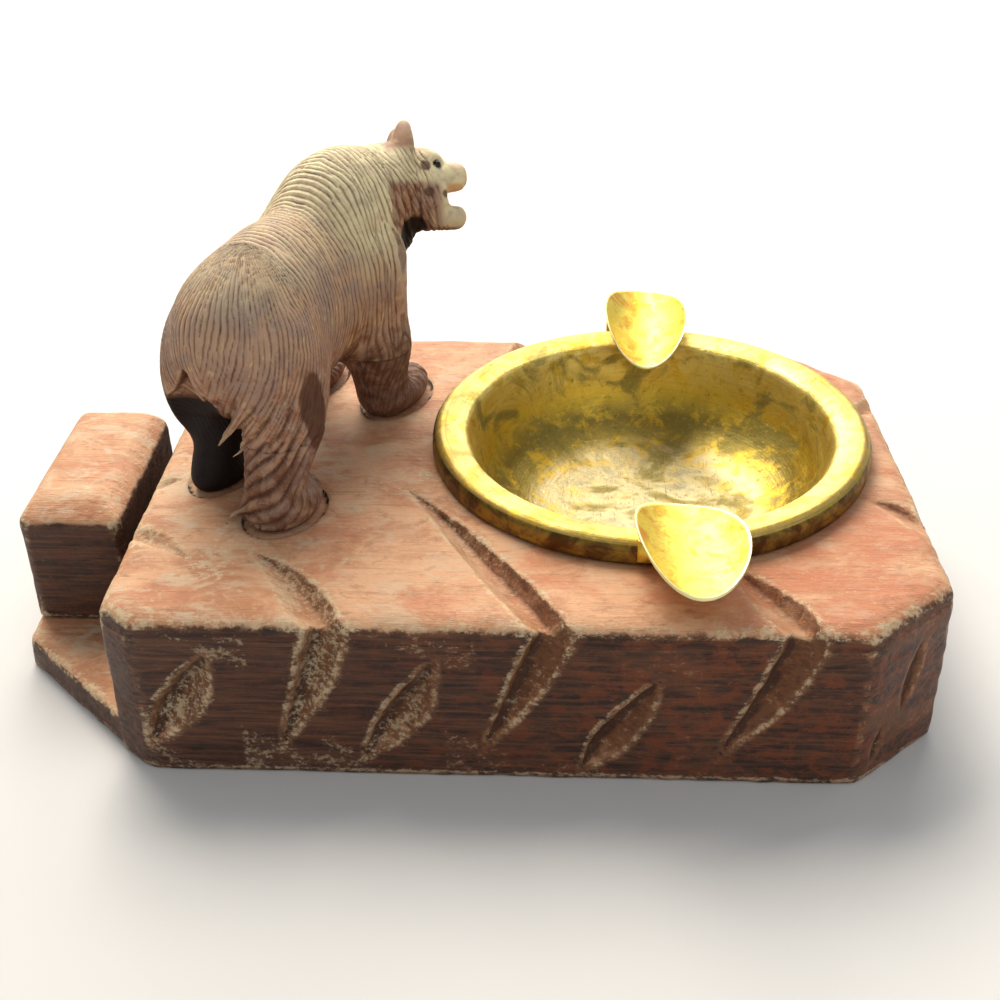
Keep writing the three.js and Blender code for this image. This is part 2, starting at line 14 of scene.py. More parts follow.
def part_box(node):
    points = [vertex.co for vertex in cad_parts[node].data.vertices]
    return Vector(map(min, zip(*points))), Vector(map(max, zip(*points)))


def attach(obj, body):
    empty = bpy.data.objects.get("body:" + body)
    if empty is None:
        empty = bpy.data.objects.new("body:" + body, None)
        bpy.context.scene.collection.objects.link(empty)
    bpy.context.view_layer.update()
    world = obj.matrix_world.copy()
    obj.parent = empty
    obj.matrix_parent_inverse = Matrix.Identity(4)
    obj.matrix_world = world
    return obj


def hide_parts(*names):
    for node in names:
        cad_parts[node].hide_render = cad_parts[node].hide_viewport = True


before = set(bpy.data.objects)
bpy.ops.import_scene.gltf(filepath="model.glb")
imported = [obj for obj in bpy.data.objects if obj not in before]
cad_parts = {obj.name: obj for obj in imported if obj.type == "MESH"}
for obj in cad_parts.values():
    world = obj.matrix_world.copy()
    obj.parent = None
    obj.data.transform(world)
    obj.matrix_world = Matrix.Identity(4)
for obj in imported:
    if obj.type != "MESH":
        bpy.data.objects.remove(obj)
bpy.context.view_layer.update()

log = logging.getLogger("bear_ashtray")
MM = 0.001
Array = np.ndarray
Field = Callable[[Array], Array]


class Slot(Enum):
    """Material slots of the record, one for each kind of piece."""

    BASE = "base_wood"
    BLOCK = "block_wood"
    BEAR = "bear_wood"
    BOWL = "bowl_brass"
    REST = "rest_brass"


# ---------------------------------------------------------------- shapes as fields, in millimetres


def smooth_min(a: Array, b: Array, k: float) -> Array:
    """Joins two fields with a fillet.

    Args:
        a: first field.
        b: second field.
        k: width of the fillet, in millimetres.

    Returns:
        The joined field.
    """
    m = np.clip(0.5 + 0.5 * (b - a) / k, 0.0, 1.0)
    return b + (a - b) * m - k * m * (1.0 - m)


def smooth_max(a: Array, b: Array, k: float) -> Array:
    """Keeps what two fields share, with a rounded edge of width k."""
    return -smooth_min(-a, -b, k)


def ramp(x: Array, start: float, end: float) -> Array:
    """Smooth step from 0 at start to 1 at end; start may be the larger."""
    t = np.clip((x - start) / (end - start), 0.0, 1.0)
    return t * t * (3.0 - 2.0 * t)


def scatter(a: Array, b: Array, seed: int = 0) -> Array:
    """Repeatable numbers from 0 to 1 for pairs of whole numbers.

    Args:
        a: first whole numbers.
        b: second whole numbers.
        seed: changes the whole set.

    Returns:
        One number for each pair.
    """
    h = a.astype(np.int64) * 374761393 + b.astype(np.int64) * 668265263 + seed * 1442695041
    h = (h ^ (h >> 13)) & 0xFFFFFFFF
    h = (h * 1274126177) & 0xFFFFFFFF
    h = (h ^ (h >> 16)) & 0xFFFFFFFF
    return h / 4294967295.0


def lumps(p: Array, size: Sequence[float], seed: int = 0) -> Array:
    """Smooth uneven lumps from -1 to 1.

    Args:
        p: points, one row each, in millimetres.
        size: size of a lump along each axis, in millimetres.
        seed: changes the pattern.

    Returns:
        One value for each point.
    """
    q = p / np.asarray(size, float)
    base = np.floor(q).astype(np.int64)
    f = q - base
    f = f * f * (3.0 - 2.0 * f)
    total = np.zeros(len(p))
    for i in (0, 1):
        for j in (0, 1):
            for k in (0, 1):
                w = (f[:, 0] if i else 1 - f[:, 0]) * (f[:, 1] if j else 1 - f[:, 1])
                w = w * (f[:, 2] if k else 1 - f[:, 2])
                near = scatter(base[:, 0] + i, base[:, 1] + j, seed)
                total += w * scatter((near * 1e6).astype(np.int64), base[:, 2] + k, seed + 7)
    return 2.0 * total - 1.0


def axes(yaw: float = 0.0, pitch: float = 0.0, roll: float = 0.0) -> Array:
    """Axes of a turned mass as columns: yaw to the right side, pitch nose up, roll right side up, degrees."""
    y, p, r = np.radians([yaw, pitch, roll])
    turn_yaw = np.array([[np.cos(y), -np.sin(y), 0], [np.sin(y), np.cos(y), 0], [0, 0, 1]])
    turn_pitch = np.array([[np.cos(p), 0, -np.sin(p)], [0, 1, 0], [np.sin(p), 0, np.cos(p)]])
    turn_roll = np.array([[1, 0, 0], [0, np.cos(r), -np.sin(r)], [0, np.sin(r), np.cos(r)]])
    return turn_yaw @ turn_pitch @ turn_roll


def egg(p: Array, centre: Sequence[float], radii: Sequence[float], turn: Optional[Array] = None) -> Array:
    """Field of an ellipsoid.

    Args:
        p: points.
        centre: its middle.
        radii: its three radii.
        turn: its axes as columns.

    Returns:
        About the distance to its skin, negative inside.
    """
    q = p - np.asarray(centre, float)
    if turn is not None:
        q = q @ turn
    r = np.asarray(radii, float)
    k0 = np.sqrt((q / r) ** 2 @ np.ones(3))
    k1 = np.sqrt((q / r**2) ** 2 @ np.ones(3))
    return k0 * (k0 - 1.0) / np.maximum(k1, 1e-9)


def taper(p: Array, a: Sequence[float], b: Sequence[float], ra: float, rb: float) -> Array:
    """Field of a rounded bar from a to b whose radius runs from ra to rb."""
    a, b = np.asarray(a, float), np.asarray(b, float)
    along = b - a
    u = np.clip((p - a) @ along / (along @ along), 0.0, 1.0)
    return np.sqrt((p - a - u[:, None] * along) ** 2 @ np.ones(3)) - (ra + (rb - ra) * u)


def convex_sides(p: Array, outline: Sequence[Sequence[float]], levels: Sequence[Sequence[float]],
                 rounding: float) -> Array:
    """Field of an upright block with a convex outline whose top edge is worked back in flats.

    Args:
        p: points.
        outline: corners, anticlockwise from above.
        levels: height and inset of each edge of the flats, from the wall up to the top.
        rounding: width of the rounding between neighbouring faces.

    Returns:
        The block's field, open at the bottom.
    """
    top = levels[-1][0]
    d = None
    for (ax, ay), (bx, by) in zip(outline, list(outline[1:]) + [outline[0]]):
        length = math.hypot(bx - ax, by - ay)
        q = ((by - ay) * (p[:, 0] - ax) - (bx - ax) * (p[:, 1] - ay)) / length
        side = q
        for (z0, i0), (z1, i1) in zip(levels, levels[1:]):
            flat = math.hypot(z1 - z0, i1 - i0)
            side = smooth_max(side, ((q + i0) * (z1 - z0) + (p[:, 2] - z0) * (i1 - i0)) / flat, rounding)
        d = side if d is None else smooth_max(d, side, rounding)
    return smooth_max(d, p[:, 2] - top, rounding)


@dataclass
class Skin:
    """Corners, faces and outward directions of a form taken off its field, in millimetres."""

    points: Array
    quads: Array
    normals: Array = field(default_factory=lambda: np.zeros((0, 3)))

    def edges(self) -> Array:
        """Pairs of corners that share an edge, each once."""
        pairs = np.concatenate([self.quads[:, [i, (i + 1) % 4]] for i in range(4)])
        return np.unique(np.sort(pairs, axis=1), axis=0)

    def relaxed(self, rounds: int) -> Array:
        """Corners drawn to the middle of their neighbours, which rubs out edges and hollows."""
        e, n = self.edges(), len(self.points)
        count = np.bincount(e.ravel(), minlength=n)[:, None]
        soft = self.points.copy()
        for _ in range(rounds):
            near = np.stack([np.bincount(e[:, 0], soft[e[:, 1], k], n) + np.bincount(e[:, 1], soft[e[:, 0], k], n)
                             for k in range(3)], axis=1)
            soft = 0.5 * soft + 0.5 * near / count
        return soft

    def proud(self, rounds: int) -> Array:
        """How far each corner stands out of its relaxed surroundings: edges above 0, hollows below."""
        return ((self.points - self.relaxed(rounds)) * self.normals).sum(axis=1)


def slope(form: Field, p: Array, step: float = 0.05) -> Array:
    """Direction in which a field grows, of length 1, and so the outward direction of its skin."""
    g = np.zeros_like(p)
    for corner in ((1, -1, -1), (-1, -1, 1), (-1, 1, -1), (1, 1, 1)):
        c = np.asarray(corner, float)
        g += c * form(p + step * c)[:, None]
    return g / np.maximum(np.linalg.norm(g, axis=1, keepdims=True), 1e-9)


def skin_of(form: Field, low: Array, high: Array, cell: float) -> Skin:
    """Takes the skin off a field on a grid that is only worked out near the skin.

    Args:
        form: the field, negative inside.
        low: lowest corner of the space searched.
        high: highest corner.
        cell: grid spacing.

    Returns:
        The skin, its corners moved onto the field's zero.
    """
    wide = 4
    blocks = np.ceil((high - low) / (cell * wide)).astype(int)
    nodes = blocks * wide + 1
    ticks = [low[k] + cell * np.arange(nodes[k]) for k in range(3)]

    def at(index: Array) -> Array:
        """Field at grid nodes, worked out in batches."""
        out = np.empty(len(index))
        for i in range(0, len(index), 150000):
            part = index[i:i + 150000]
            out[i:i + 150000] = form(np.stack([ticks[k][part[:, k]] for k in range(3)], axis=1))
        return out

    coarse = np.stack(np.meshgrid(*[np.arange(0, nodes[k], wide) for k in range(3)], indexing="ij"), axis=-1)
    d = at(coarse.reshape(-1, 3)).reshape(coarse.shape[:3])
    near = np.abs(d) < 5.5 * cell
    busy = np.zeros(blocks, bool)
    for i in (0, 1):
        for j in (0, 1):
            for k in (0, 1):
                busy |= near[i:blocks[0] + i, j:blocks[1] + j, k:blocks[2] + k]
    cells = busy.repeat(wide, 0).repeat(wide, 1).repeat(wide, 2)
    wanted = np.zeros(nodes, bool)
    for i in (0, 1):
        for j in (0, 1):
            for k in (0, 1):
                wanted[i:i + cells.shape[0], j:j + cells.shape[1], k:k + cells.shape[2]] |= cells
    value = np.full(nodes, np.nan)
    index = np.argwhere(wanted)
    value[wanted] = at(index)
    inside, known = value < 0, ~np.isnan(value)

    count = np.zeros(cells.shape, np.int8)
    for i in (0, 1):
        for j in (0, 1):
            for k in (0, 1):
                count += inside[i:i + cells.shape[0], j:j + cells.shape[1], k:k + cells.shape[2]]
    crossed = np.argwhere(cells & (count > 0) & (count < 8))
    number = np.full(cells.shape, -1, np.int64)
    number[tuple(crossed.T)] = np.arange(len(crossed))
    total, hits = np.zeros((len(crossed), 3)), np.zeros(len(crossed))
    for axis in range(3):
        step = np.eye(3, dtype=int)[axis]
        others = [k for k in range(3) if k != axis]
        for i in (0, 1):
            for j in (0, 1):
                offset = np.zeros(3, int)
                offset[others[0]], offset[others[1]] = i, j
                a = value[tuple((crossed + offset).T)]
                b = value[tuple((crossed + offset + step).T)]
                cut = (a < 0) != (b < 0)
                t = np.where(cut, a / np.where(cut, a - b, 1.0), 0.0)
                total += (offset + t[:, None] * step) * cut[:, None]
                hits += cut
    points = low + cell * (crossed + total / hits[:, None])
    quads = []
    for axis in range(3):
        here = [slice(None)] * 3
        there = [slice(None)] * 3
        here[axis], there[axis] = slice(0, -1), slice(1, None)
        a, b = inside[tuple(here)], inside[tuple(there)]
        edge = np.argwhere((a != b) & known[tuple(here)] & known[tuple(there)])
        u, v = [np.eye(3, dtype=int)[k] for k in ((axis + 1) % 3, (axis + 2) % 3)]
        ids = [edge - u - v, edge - v, edge, edge - u]
        fits = np.all([(c >= 0).all(axis=1) & (c < cells.shape).all(axis=1) for c in ids], axis=0)
        edge = edge[fits]
        faces = np.stack([number[tuple(c[fits].T)] for c in ids], axis=1)
        out = a[tuple(edge.T)]
        faces = np.where(out[:, None], faces, faces[:, ::-1])
        quads.append(faces[(faces >= 0).all(axis=1)])
    for _ in range(2):
        n = slope(form, points)
        points = points - np.clip(form(points), -0.4 * cell, 0.4 * cell)[:, None] * n
    return Skin(points, np.concatenate(quads), slope(form, points))


def smooth_path(corners: Sequence[Sequence[float]], steps: int) -> Array:
    """Points spread evenly along a smooth curve through the given points, eased by the root of their spacing."""
    c = [np.asarray(p, float) for p in corners]
    c = [2 * c[0] - c[1], *c, 2 * c[-1] - c[-2]]
    out = []
    for p0, p1, p2, p3 in zip(c, c[1:], c[2:], c[3:]):
        d0, d1, d2 = [max(np.linalg.norm(b - a), 1e-6) ** 0.5 for a, b in ((p0, p1), (p1, p2), (p2, p3))]
        m1 = ((p1 - p0) / d0 - (p2 - p0) / (d0 + d1) + (p2 - p1) / d1) * d1
        m2 = ((p2 - p1) / d1 - (p3 - p1) / (d1 + d2) + (p3 - p2) / d2) * d1
        for t in np.linspace(0, 1, 16, endpoint=False):
            out.append((2 * t**3 - 3 * t**2 + 1) * p1 + (t**3 - 2 * t**2 + t) * m1
                       + (3 * t**2 - 2 * t**3) * p2 + (t**3 - t**2) * m2)
    out = np.array([*out, c[-2]])
    length = np.concatenate([[0], np.cumsum(np.linalg.norm(np.diff(out, axis=0), axis=1))])
    even = np.linspace(0, length[-1], steps + 1)
    return np.stack([np.interp(even, length, out[:, k]) for k in range(out.shape[1])], axis=1)


def mesh_object(name: str, points: Array, faces: Sequence[Sequence[int]], values: dict[str, Array]) -> bpy.types.Object:
    """Makes a smooth-shaded object from corners in millimetres.

    Args:
        name: name of the object.
        points: corners.
        faces: corner numbers of each face.
        values: numbers or directions kept on the corners for the finish to read.

    Returns:
        The object, at the origin.
    """
    mesh = bpy.data.meshes.new(name)
    if isinstance(faces, np.ndarray) and len(faces):
        mesh.vertices.add(len(points))
        mesh.vertices.foreach_set("co", (points * MM).astype(np.float32).ravel())
        mesh.loops.add(faces.size)
        mesh.loops.foreach_set("vertex_index", faces.astype(np.int32).ravel())
        mesh.polygons.add(len(faces))
        mesh.polygons.foreach_set("loop_start", np.arange(0, faces.size, faces.shape[1], dtype=np.int32))
        mesh.update(calc_edges=True)
    else:
        mesh.from_pydata([tuple(p) for p in points * MM], [], [tuple(f) for f in faces])
    mesh.validate()
    mesh.shade_smooth()
    for key, data in values.items():
        kind = "FLOAT_VECTOR" if data.ndim == 2 else "FLOAT"
        attribute = mesh.attributes.new(key, kind, "POINT")
        attribute.data.foreach_set("vector" if data.ndim == 2 else "value", data.astype(np.float32).ravel())
    item = bpy.data.objects.new(name, mesh)
    bpy.context.scene.collection.objects.link(item)
    return item


def hand_over(piece: bpy.types.Object, node: str, slot: Slot, finish: bpy.types.Material) -> None:
    """Gives a piece its finish and lets it stand for its solid."""
    piece.data.materials.clear()
    piece.data.materials.append(finish)
    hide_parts(node)
    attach(piece, "root")
    low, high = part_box(node)
    log.info("%s: %d faces, stands for %s, %.1f mm high", piece.name, len(piece.data.polygons), node,
             (high[2] - low[2]) / MM)


# ---------------------------------------------------------------- finishes


def linear(code: str) -> tuple[float, float, float, float]:
    """Turns an sRGB hex colour into linear red, green, blue and alpha."""
    values = [int(code.lstrip("#")[i:i + 2], 16) / 255 for i in (0, 2, 4)]
    return (*[v / 12.92 if v <= 0.04045 else ((v + 0.055) / 1.055) ** 2.4 for v in values], 1.0)


def add_node(tree: bpy.types.NodeTree, kind: str, inputs: Optional[dict] = None,
             stops: Optional[Sequence[tuple]] = None, **settings: object) -> bpy.types.Node:
    """Adds a node with its settings and links.

    Args:
        tree: tree to add to.
        kind: Blender's name of the node.
        inputs: for each input, by name or number, a value or a socket to link from.
        stops: places and colours or grey levels of a colour ramp.
        settings: the node's own settings.

    Returns:
        The node.
    """
    node = tree.nodes.new(kind)
    for key, value in settings.items():
        setattr(node, key, value)
    for key, value in (inputs or {}).items():
        if isinstance(value, bpy.types.NodeSocket):
            tree.links.new(value, node.inputs[key])
        else:
            node.inputs[key].default_value = value
    for i, (place, colour) in enumerate(stops or ()):
        elements = node.color_ramp.elements
        element = elements[i] if i < 2 else elements.new(place)
        element.position = place
        element.color = linear(colour) if isinstance(colour, str) else (colour, colour, colour, 1.0)
    return node


class Bench:
    """A material being mixed: its tree, its shader and the few moves that every finish here uses."""

    def __init__(self, name: str) -> None:
        """Starts a material with one principled shader."""
        self.material = bpy.data.materials.new(name)
        self.material.use_nodes = True
        self.tree = self.material.node_tree
        self.tree.nodes.clear()
        self.shader = add_node(self.tree, "ShaderNodeBsdfPrincipled")
        add_node(self.tree, "ShaderNodeOutputMaterial", {"Surface": self.shader.outputs["BSDF"]})
        self.place = add_node(self.tree, "ShaderNodeTexCoord").outputs["Object"]

    def kept(self, name: str, vector: bool = False) -> bpy.types.NodeSocket:
        """Reads what the carving left on the mesh under that name."""
        node = add_node(self.tree, "ShaderNodeAttribute", attribute_name=name)
        return node.outputs["Vector" if vector else "Fac"]

    def grain(self, size_mm: Sequence[float], detail: float = 3.0, rough: float = 0.55, warp: float = 0.0,
              source: Optional[bpy.types.NodeSocket] = None, unit: float = MM) -> bpy.types.NodeSocket:
        """Uneven pattern whose patches measure size_mm along each axis.

        Args:
            size_mm: length of a patch along x, y and z.
            detail: how many finer layers are laid over it.
            rough: how strong the finer layers are.
            warp: how much the pattern is bent by itself.
            source: coordinates other than the object's.
            unit: size of a millimetre in those coordinates.

        Returns:
            Socket with values from 0 to 1.
        """
        scaled = add_node(self.tree, "ShaderNodeMapping",
                          {"Vector": source or self.place, "Scale": [1.0 / (s * unit) for s in size_mm]})
        return add_node(self.tree, "ShaderNodeTexNoise",
                        {"Vector": scaled.outputs[0], "Scale": 1.0, "Detail": detail, "Roughness": rough,
                         "Distortion": warp}).outputs["Fac"]

    def span(self, value: bpy.types.NodeSocket, low: float, high: float, to_low: float = 0.0,
             to_high: float = 1.0) -> bpy.types.NodeSocket:
        """Stretches a range of values to another, with soft ends."""
        return add_node(self.tree, "ShaderNodeMapRange",
                        {"Value": value, "From Min": low, "From Max": high, "To Min": to_low, "To Max": to_high},
                        interpolation_type="SMOOTHSTEP").outputs["Result"]

    def sums(self, operation: str, a: object, b: object) -> bpy.types.NodeSocket:
        """One step of arithmetic on two sockets or numbers."""
        return add_node(self.tree, "ShaderNodeMath", {0: a, 1: b}, operation=operation).outputs[0]

    def stain(self, under: object, over: object, amount: object, blend: str = "MIX") -> bpy.types.NodeSocket:
        """Lays one colour over another; a colour is a hex code or a socket."""
        under, over = [linear(c) if isinstance(c, str) else c for c in (under, over)]
        return add_node(self.tree, "ShaderNodeMix", {0: amount, 6: under, 7: over}, data_type="RGBA",
                        blend_type=blend).outputs[2]

    def relief(self, height: bpy.types.NodeSocket, depth_mm: float,
               under: Optional[bpy.types.NodeSocket] = None) -> bpy.types.NodeSocket:
        """Fine relief that is depth_mm from its lowest to its highest place."""
        inputs = {"Height": height, "Strength": 1.0, "Distance": depth_mm * MM}
        if under is not None:
            inputs["Normal"] = under
        return add_node(self.tree, "ShaderNodeBump", inputs).outputs["Normal"]

    def finish(self, colour: object, rough: object, normal: Optional[bpy.types.NodeSocket] = None,
               **values: float) -> bpy.types.Material:
        """Joins colour, roughness and relief to the shader, and sets its plain values.

        Args:
            colour: socket with the colour.
            rough: socket or number for the roughness.
            normal: socket with the relief.
            values: the shader's other values, with _ for a space.

        Returns:
            The material.
        """
        for key, value in {"Base Color": colour, "Roughness": rough, "Normal": normal}.items():
            if isinstance(value, bpy.types.NodeSocket):
                self.tree.links.new(value, self.shader.inputs[key])
            elif value is not None:
                self.shader.inputs[key].default_value = value
        for key, value in values.items():
            self.shader.inputs[key.replace("_", " ")].default_value = value
        return self.material


@dataclass(frozen=True)
class StainedWood:
    """Limewood cut with gouges and stained with a brown spirit stain, then handled for years.

    The stain stays dark on the upright faces. The top is rubbed through to salmon-coloured wood, and every
    edge and lip of a cut is worn pale and dusty, so the form reads by its edges more than by gloss.
    """

    name: str
    top_light: str = "#dba981"
    top_dark: str = "#bd8259"
    top_red: str = "#c67a54"
    dust: str = "#dcc8a2"
    side_light: str = "#6a4129"
    side_dark: str = "#2f1a10"
    side_warm: str = "#7e3d1a"
    facet: str = "#8a5936"
    warm_x: float = 60.0

    def build(self) -> bpy.types.Material:
        """Mixes the finish."""
        b = Bench(self.name)
        edge, worn, cut, up = b.kept("edge"), b.kept("worn"), b.kept("cut"), b.kept("up")
        east = add_node(b.tree, "ShaderNodeSeparateXYZ", {0: b.place}).outputs["X"]
        # Limewood has faint streaks along the plank about 1 mm wide, and blotches where the stain took unevenly.
        streak = b.grain((22, 1.0, 1.0), 4, 0.65, 0.3)
        pores = b.grain((4, 0.32, 0.32), 3, 0.7)
        blotch = b.grain((16, 12, 12), 5, 0.66, 0.5)
        patch = b.grain((5, 3.4, 3.4), 5, 0.7, 0.4)
        speck = b.grain((1.3, 0.9, 0.9), 4, 0.75)
        top = b.stain(self.top_dark, self.top_light, b.span(blotch, 0.36, 0.60))
        top = b.stain(top, self.top_red, b.sums("MULTIPLY", b.span(b.grain((26, 18, 18), 4, 0.6, 0.4), 0.44, 0.62),
                                                b.span(east, -60 * MM, 70 * MM, 0.3, 0.8)))
        top = b.stain(top, "#a06f50", b.span(patch, 0.54, 0.70, 0.0, 0.6))
        top = b.stain(top, "#8f6146", b.span(streak, 0.55, 0.70, 0.0, 0.45))
        grey = b.sums("MULTIPLY", b.span(b.grain((9, 5, 5), 5, 0.7, 0.6), 0.48, 0.66), b.span(east, 60 * MM, -80 * MM, 0.3, 0.85))
        top = b.stain(top, "#d3b998", grey)
        top = b.stain(top, "#e8c49a", b.span(speck, 0.56, 0.72, 0.0, 0.5))
        side = b.stain(self.side_dark, self.side_light, b.span(streak, 0.34, 0.70))
        side = b.stain(side, "#1d0e07", b.span(b.grain((15, 1.8, 1.8), 4, 0.65, 0.3), 0.52, 0.68, 0.0, 0.8))
        warm = b.sums("MULTIPLY", b.span(east, -50 * MM, self.warm_x * MM, 0.2, 1.0), b.span(patch, 0.44, 0.60))
        side = b.stain(side, self.side_warm, b.sums("MULTIPLY", warm, 0.7))
        side = b.stain(side, "#8d6345", b.span(speck, 0.60, 0.74, 0.0, 0.55))
        # Dust and wear climb down over the top edge in ragged tongues.
        uneven = b.sums("ADD", up, b.sums("MULTIPLY", b.sums("SUBTRACT", patch, 0.5), 0.9))
        colour = b.stain(side, top, b.span(uneven, 0.34, 0.66))
        # The floor of a side cut is bare wood under a thin wash of stain; top cuts keep the colour of the top.
        bare = b.sums("MULTIPLY", cut, b.span(up, 0.85, 0.35, 0.0, 0.75))
        colour = b.stain(colour, b.stain(self.facet, "#6d4227", b.span(streak, 0.42, 0.62)), bare)
        # Painted shade in the hollows, strongest on the upright faces: the line under the worn roll of the top edge and
        # the walls of the cuts.
        colour = b.stain(colour, "#2a140b", b.sums("MULTIPLY", b.span(edge, -0.02, -0.12), b.span(up, 0.9, 0.5, 0.1, 0.7)))
        # Handling wears the stain off what stands proud, in a broken line about 1 mm wide.
        rub = b.sums("MULTIPLY", b.span(edge, 0.03, 0.12), b.span(patch, 0.42, 0.58, 0.1, 1.0))
        colour = b.stain(colour, "#cfa477", b.sums("MULTIPLY", rub, b.span(up, -0.1, 0.7, 0.22, 0.6)))
        # Pale dust and torn fibres, in specks of a millimetre, round the edges and the mouths of the cuts.
        near = b.sums("MAXIMUM", b.span(worn, 0.10, 0.40, 0.0, 0.9), b.sums("MULTIPLY", b.kept("mouth"), b.span(east, 40 * MM, -40 * MM, 0.35, 0.8)))
        ragged = b.sums("ADD", b.sums("MULTIPLY", speck, 0.6), b.sums("MULTIPLY", patch, 0.4))
        amount = b.sums("MULTIPLY", b.span(b.sums("ADD", ragged, b.sums("MULTIPLY", near, 0.16)), 0.60, 0.70), near)
        colour = b.stain(colour, self.dust, b.sums("MULTIPLY", amount, b.span(up, -0.5, 0.4, 0.2, 0.85)))
        colour = b.stain(colour, "#6d452f", b.span(pores, 0.60, 0.75, 0.0, 0.4))
        rough = b.sums("SUBTRACT", b.span(blotch, 0.3, 0.7, 0.56, 0.74), b.span(up, 0.5, 0.0, 0.0, 0.12))
        normal = b.relief(streak, 0.30)
        normal = b.relief(pores, 0.16, normal)
        normal = b.relief(b.grain((2.4, 1.6, 1.6), 5, 0.75), 0.42, normal)
        return b.finish(colour, rough, normal, IOR=1.5, Specular_IOR_Level=0.4)


@dataclass(frozen=True)
class CarvedCoat:
    """Limewood with the coat cut in by a small V tool, lightly stained so that the stain settles in the strokes.

    The ridges are worn grey-brown, palest over the shoulders and neck, where dust and a painted highlight from
    above lie together; the strokes hold a darker brown; and the hollow under the rump, the left hind leg, the
    throat and the faces that turn down carry painted shade, dark brown to near black.
    """

    name: str
    ridge: str = "#c09a7c"
    ridge_grey: str = "#a88d7c"
    ridge_red: str = "#9c6848"
    ridge_pale: str = "#e9dbae"
    stain_and_shade_brown: str = "#55301c"
    shadow_black: str = "#140604"
    mouth: str = "#cf9558"

    def build(self) -> bpy.types.Material:
        """Mixes the finish."""
        b = Bench(self.name)
        ridge, dark, edge, warm = b.kept("ridge"), b.kept("dark"), b.kept("edge"), b.kept("warm")
        bead, cutting = b.kept("bead"), b.kept("cutting")
        lanes = add_node(b.tree, "ShaderNodeSeparateXYZ", {0: b.kept("lanes", vector=True)}).outputs
        run = b.kept("run")
        # The strokes are 1.3 to 1.5 mm apart, each with a sharp floor; the two sets are laid over each other here
        # as they are in the shape.
        crisp = []
        for lane in (lanes[0], lanes[1]):
            doubled = b.sums("MULTIPLY", b.sums("FRACT", lane, 0.0), 2.0)
            crisp.append(b.sums("ABSOLUTE", b.sums("SUBTRACT", doubled, 1.0), 0.0))
        sharp = b.sums("ADD", b.sums("MULTIPLY", crisp[0], b.sums("SUBTRACT", 1.0, lanes[2])),
                       b.sums("MULTIPLY", crisp[1], lanes[2]))
        strand = add_node(b.tree, "ShaderNodeCombineXYZ", {0: lanes[0], 1: run})
        # Fibres 0.3 mm wide and 5 mm long run with the strokes; blotches of 6 to 12 mm show how the stain took.
        fibre = b.grain((0.25, 5.0, 1.0), 3, 0.6, 0.2, strand.outputs[0], 1.0)
        tuft = b.grain((1.1, 4.0, 1.0), 3, 0.65, 0.2, strand.outputs[0], 1.0)
        blotch = b.grain((9, 9, 9), 4, 0.6, 0.5)
        patch = b.grain((3.4, 3.4, 3.4), 4, 0.65, 0.4)
        high = b.stain(self.ridge, self.ridge_grey, b.span(blotch, 0.38, 0.60))
        high = b.stain(high, self.ridge_red, b.sums("MULTIPLY", b.span(patch, 0.46, 0.62, 0.2, 0.8), b.kept("red")))
        # Paler ridges toward the top of the shoulders and neck: partly dust, partly a painted highlight where the light
        # from above falls.
        high = b.stain(high, self.ridge_pale, b.sums("MULTIPLY", b.kept("pale"), b.span(patch, 0.32, 0.6, 0.45, 1.0)))
        high = b.stain(high, "#d9c089", b.span(tuft, 0.56, 0.70, 0.0, 0.5))
        low = b.stain(high, "#6b4833", 0.62)
        low = b.stain(low, "#43271a", b.span(tuft, 0.50, 0.36, 0.0, 0.5))
        floor = b.sums("MULTIPLY", b.span(sharp, 0.35, 0.95), cutting)
        worn = b.sums("ADD", b.sums("SUBTRACT", ridge, b.sums("MULTIPLY", floor, 0.35)),
                      b.sums("MULTIPLY", b.sums("SUBTRACT", fibre, 0.5), 0.6))
        colour = b.stain(low, high, b.span(worn, 0.10, 0.72))
        # Painted shade from the dark value: brown in the shade under the body, on downturned faces and in the floors of
        # the larger grooves, near black in the deep shade of the rump hollow, the left hind leg and the throat.
        colour = b.stain(colour, self.stain_and_shade_brown, b.span(b.sums("ADD", dark, b.sums(
            "MULTIPLY", b.sums("SUBTRACT", patch, 0.5), 0.7)), 0.10, 0.66, 0.0, 0.9))
        colour = b.stain(colour, self.shadow_black, b.span(dark, 0.68, 0.95))
        colour = b.stain(colour, self.mouth, b.sums("MULTIPLY", warm, 0.8))
        colour = b.stain(colour, "#d8bd98", b.sums("MULTIPLY", b.span(edge, 0.05, 0.35), b.span(dark, 0.9, 0.4, 0.0, 0.5)))
        # Painted shade in the hollows of the carving.
        colour = b.stain(colour, "#2a150c", b.span(edge, -0.08, -0.4, 0.0, 0.6))
        colour = b.stain(colour, "#120a07", bead)
        rough = add_node(b.tree, "ShaderNodeMapRange", {"Value": bead, "To Min": 0.68, "To Max": 0.2}).outputs[0]
        normal = b.relief(b.sums("MULTIPLY", b.sums("SUBTRACT", 1.0, sharp), cutting), 0.22)
        normal = b.relief(fibre, 0.10, normal)
        normal = b.relief(b.grain((0.9, 0.9, 0.9), 4, 0.65), 0.14, normal)
        return b.finish(colour, rough, normal, IOR=1.5, Specular_IOR_Level=0.35)


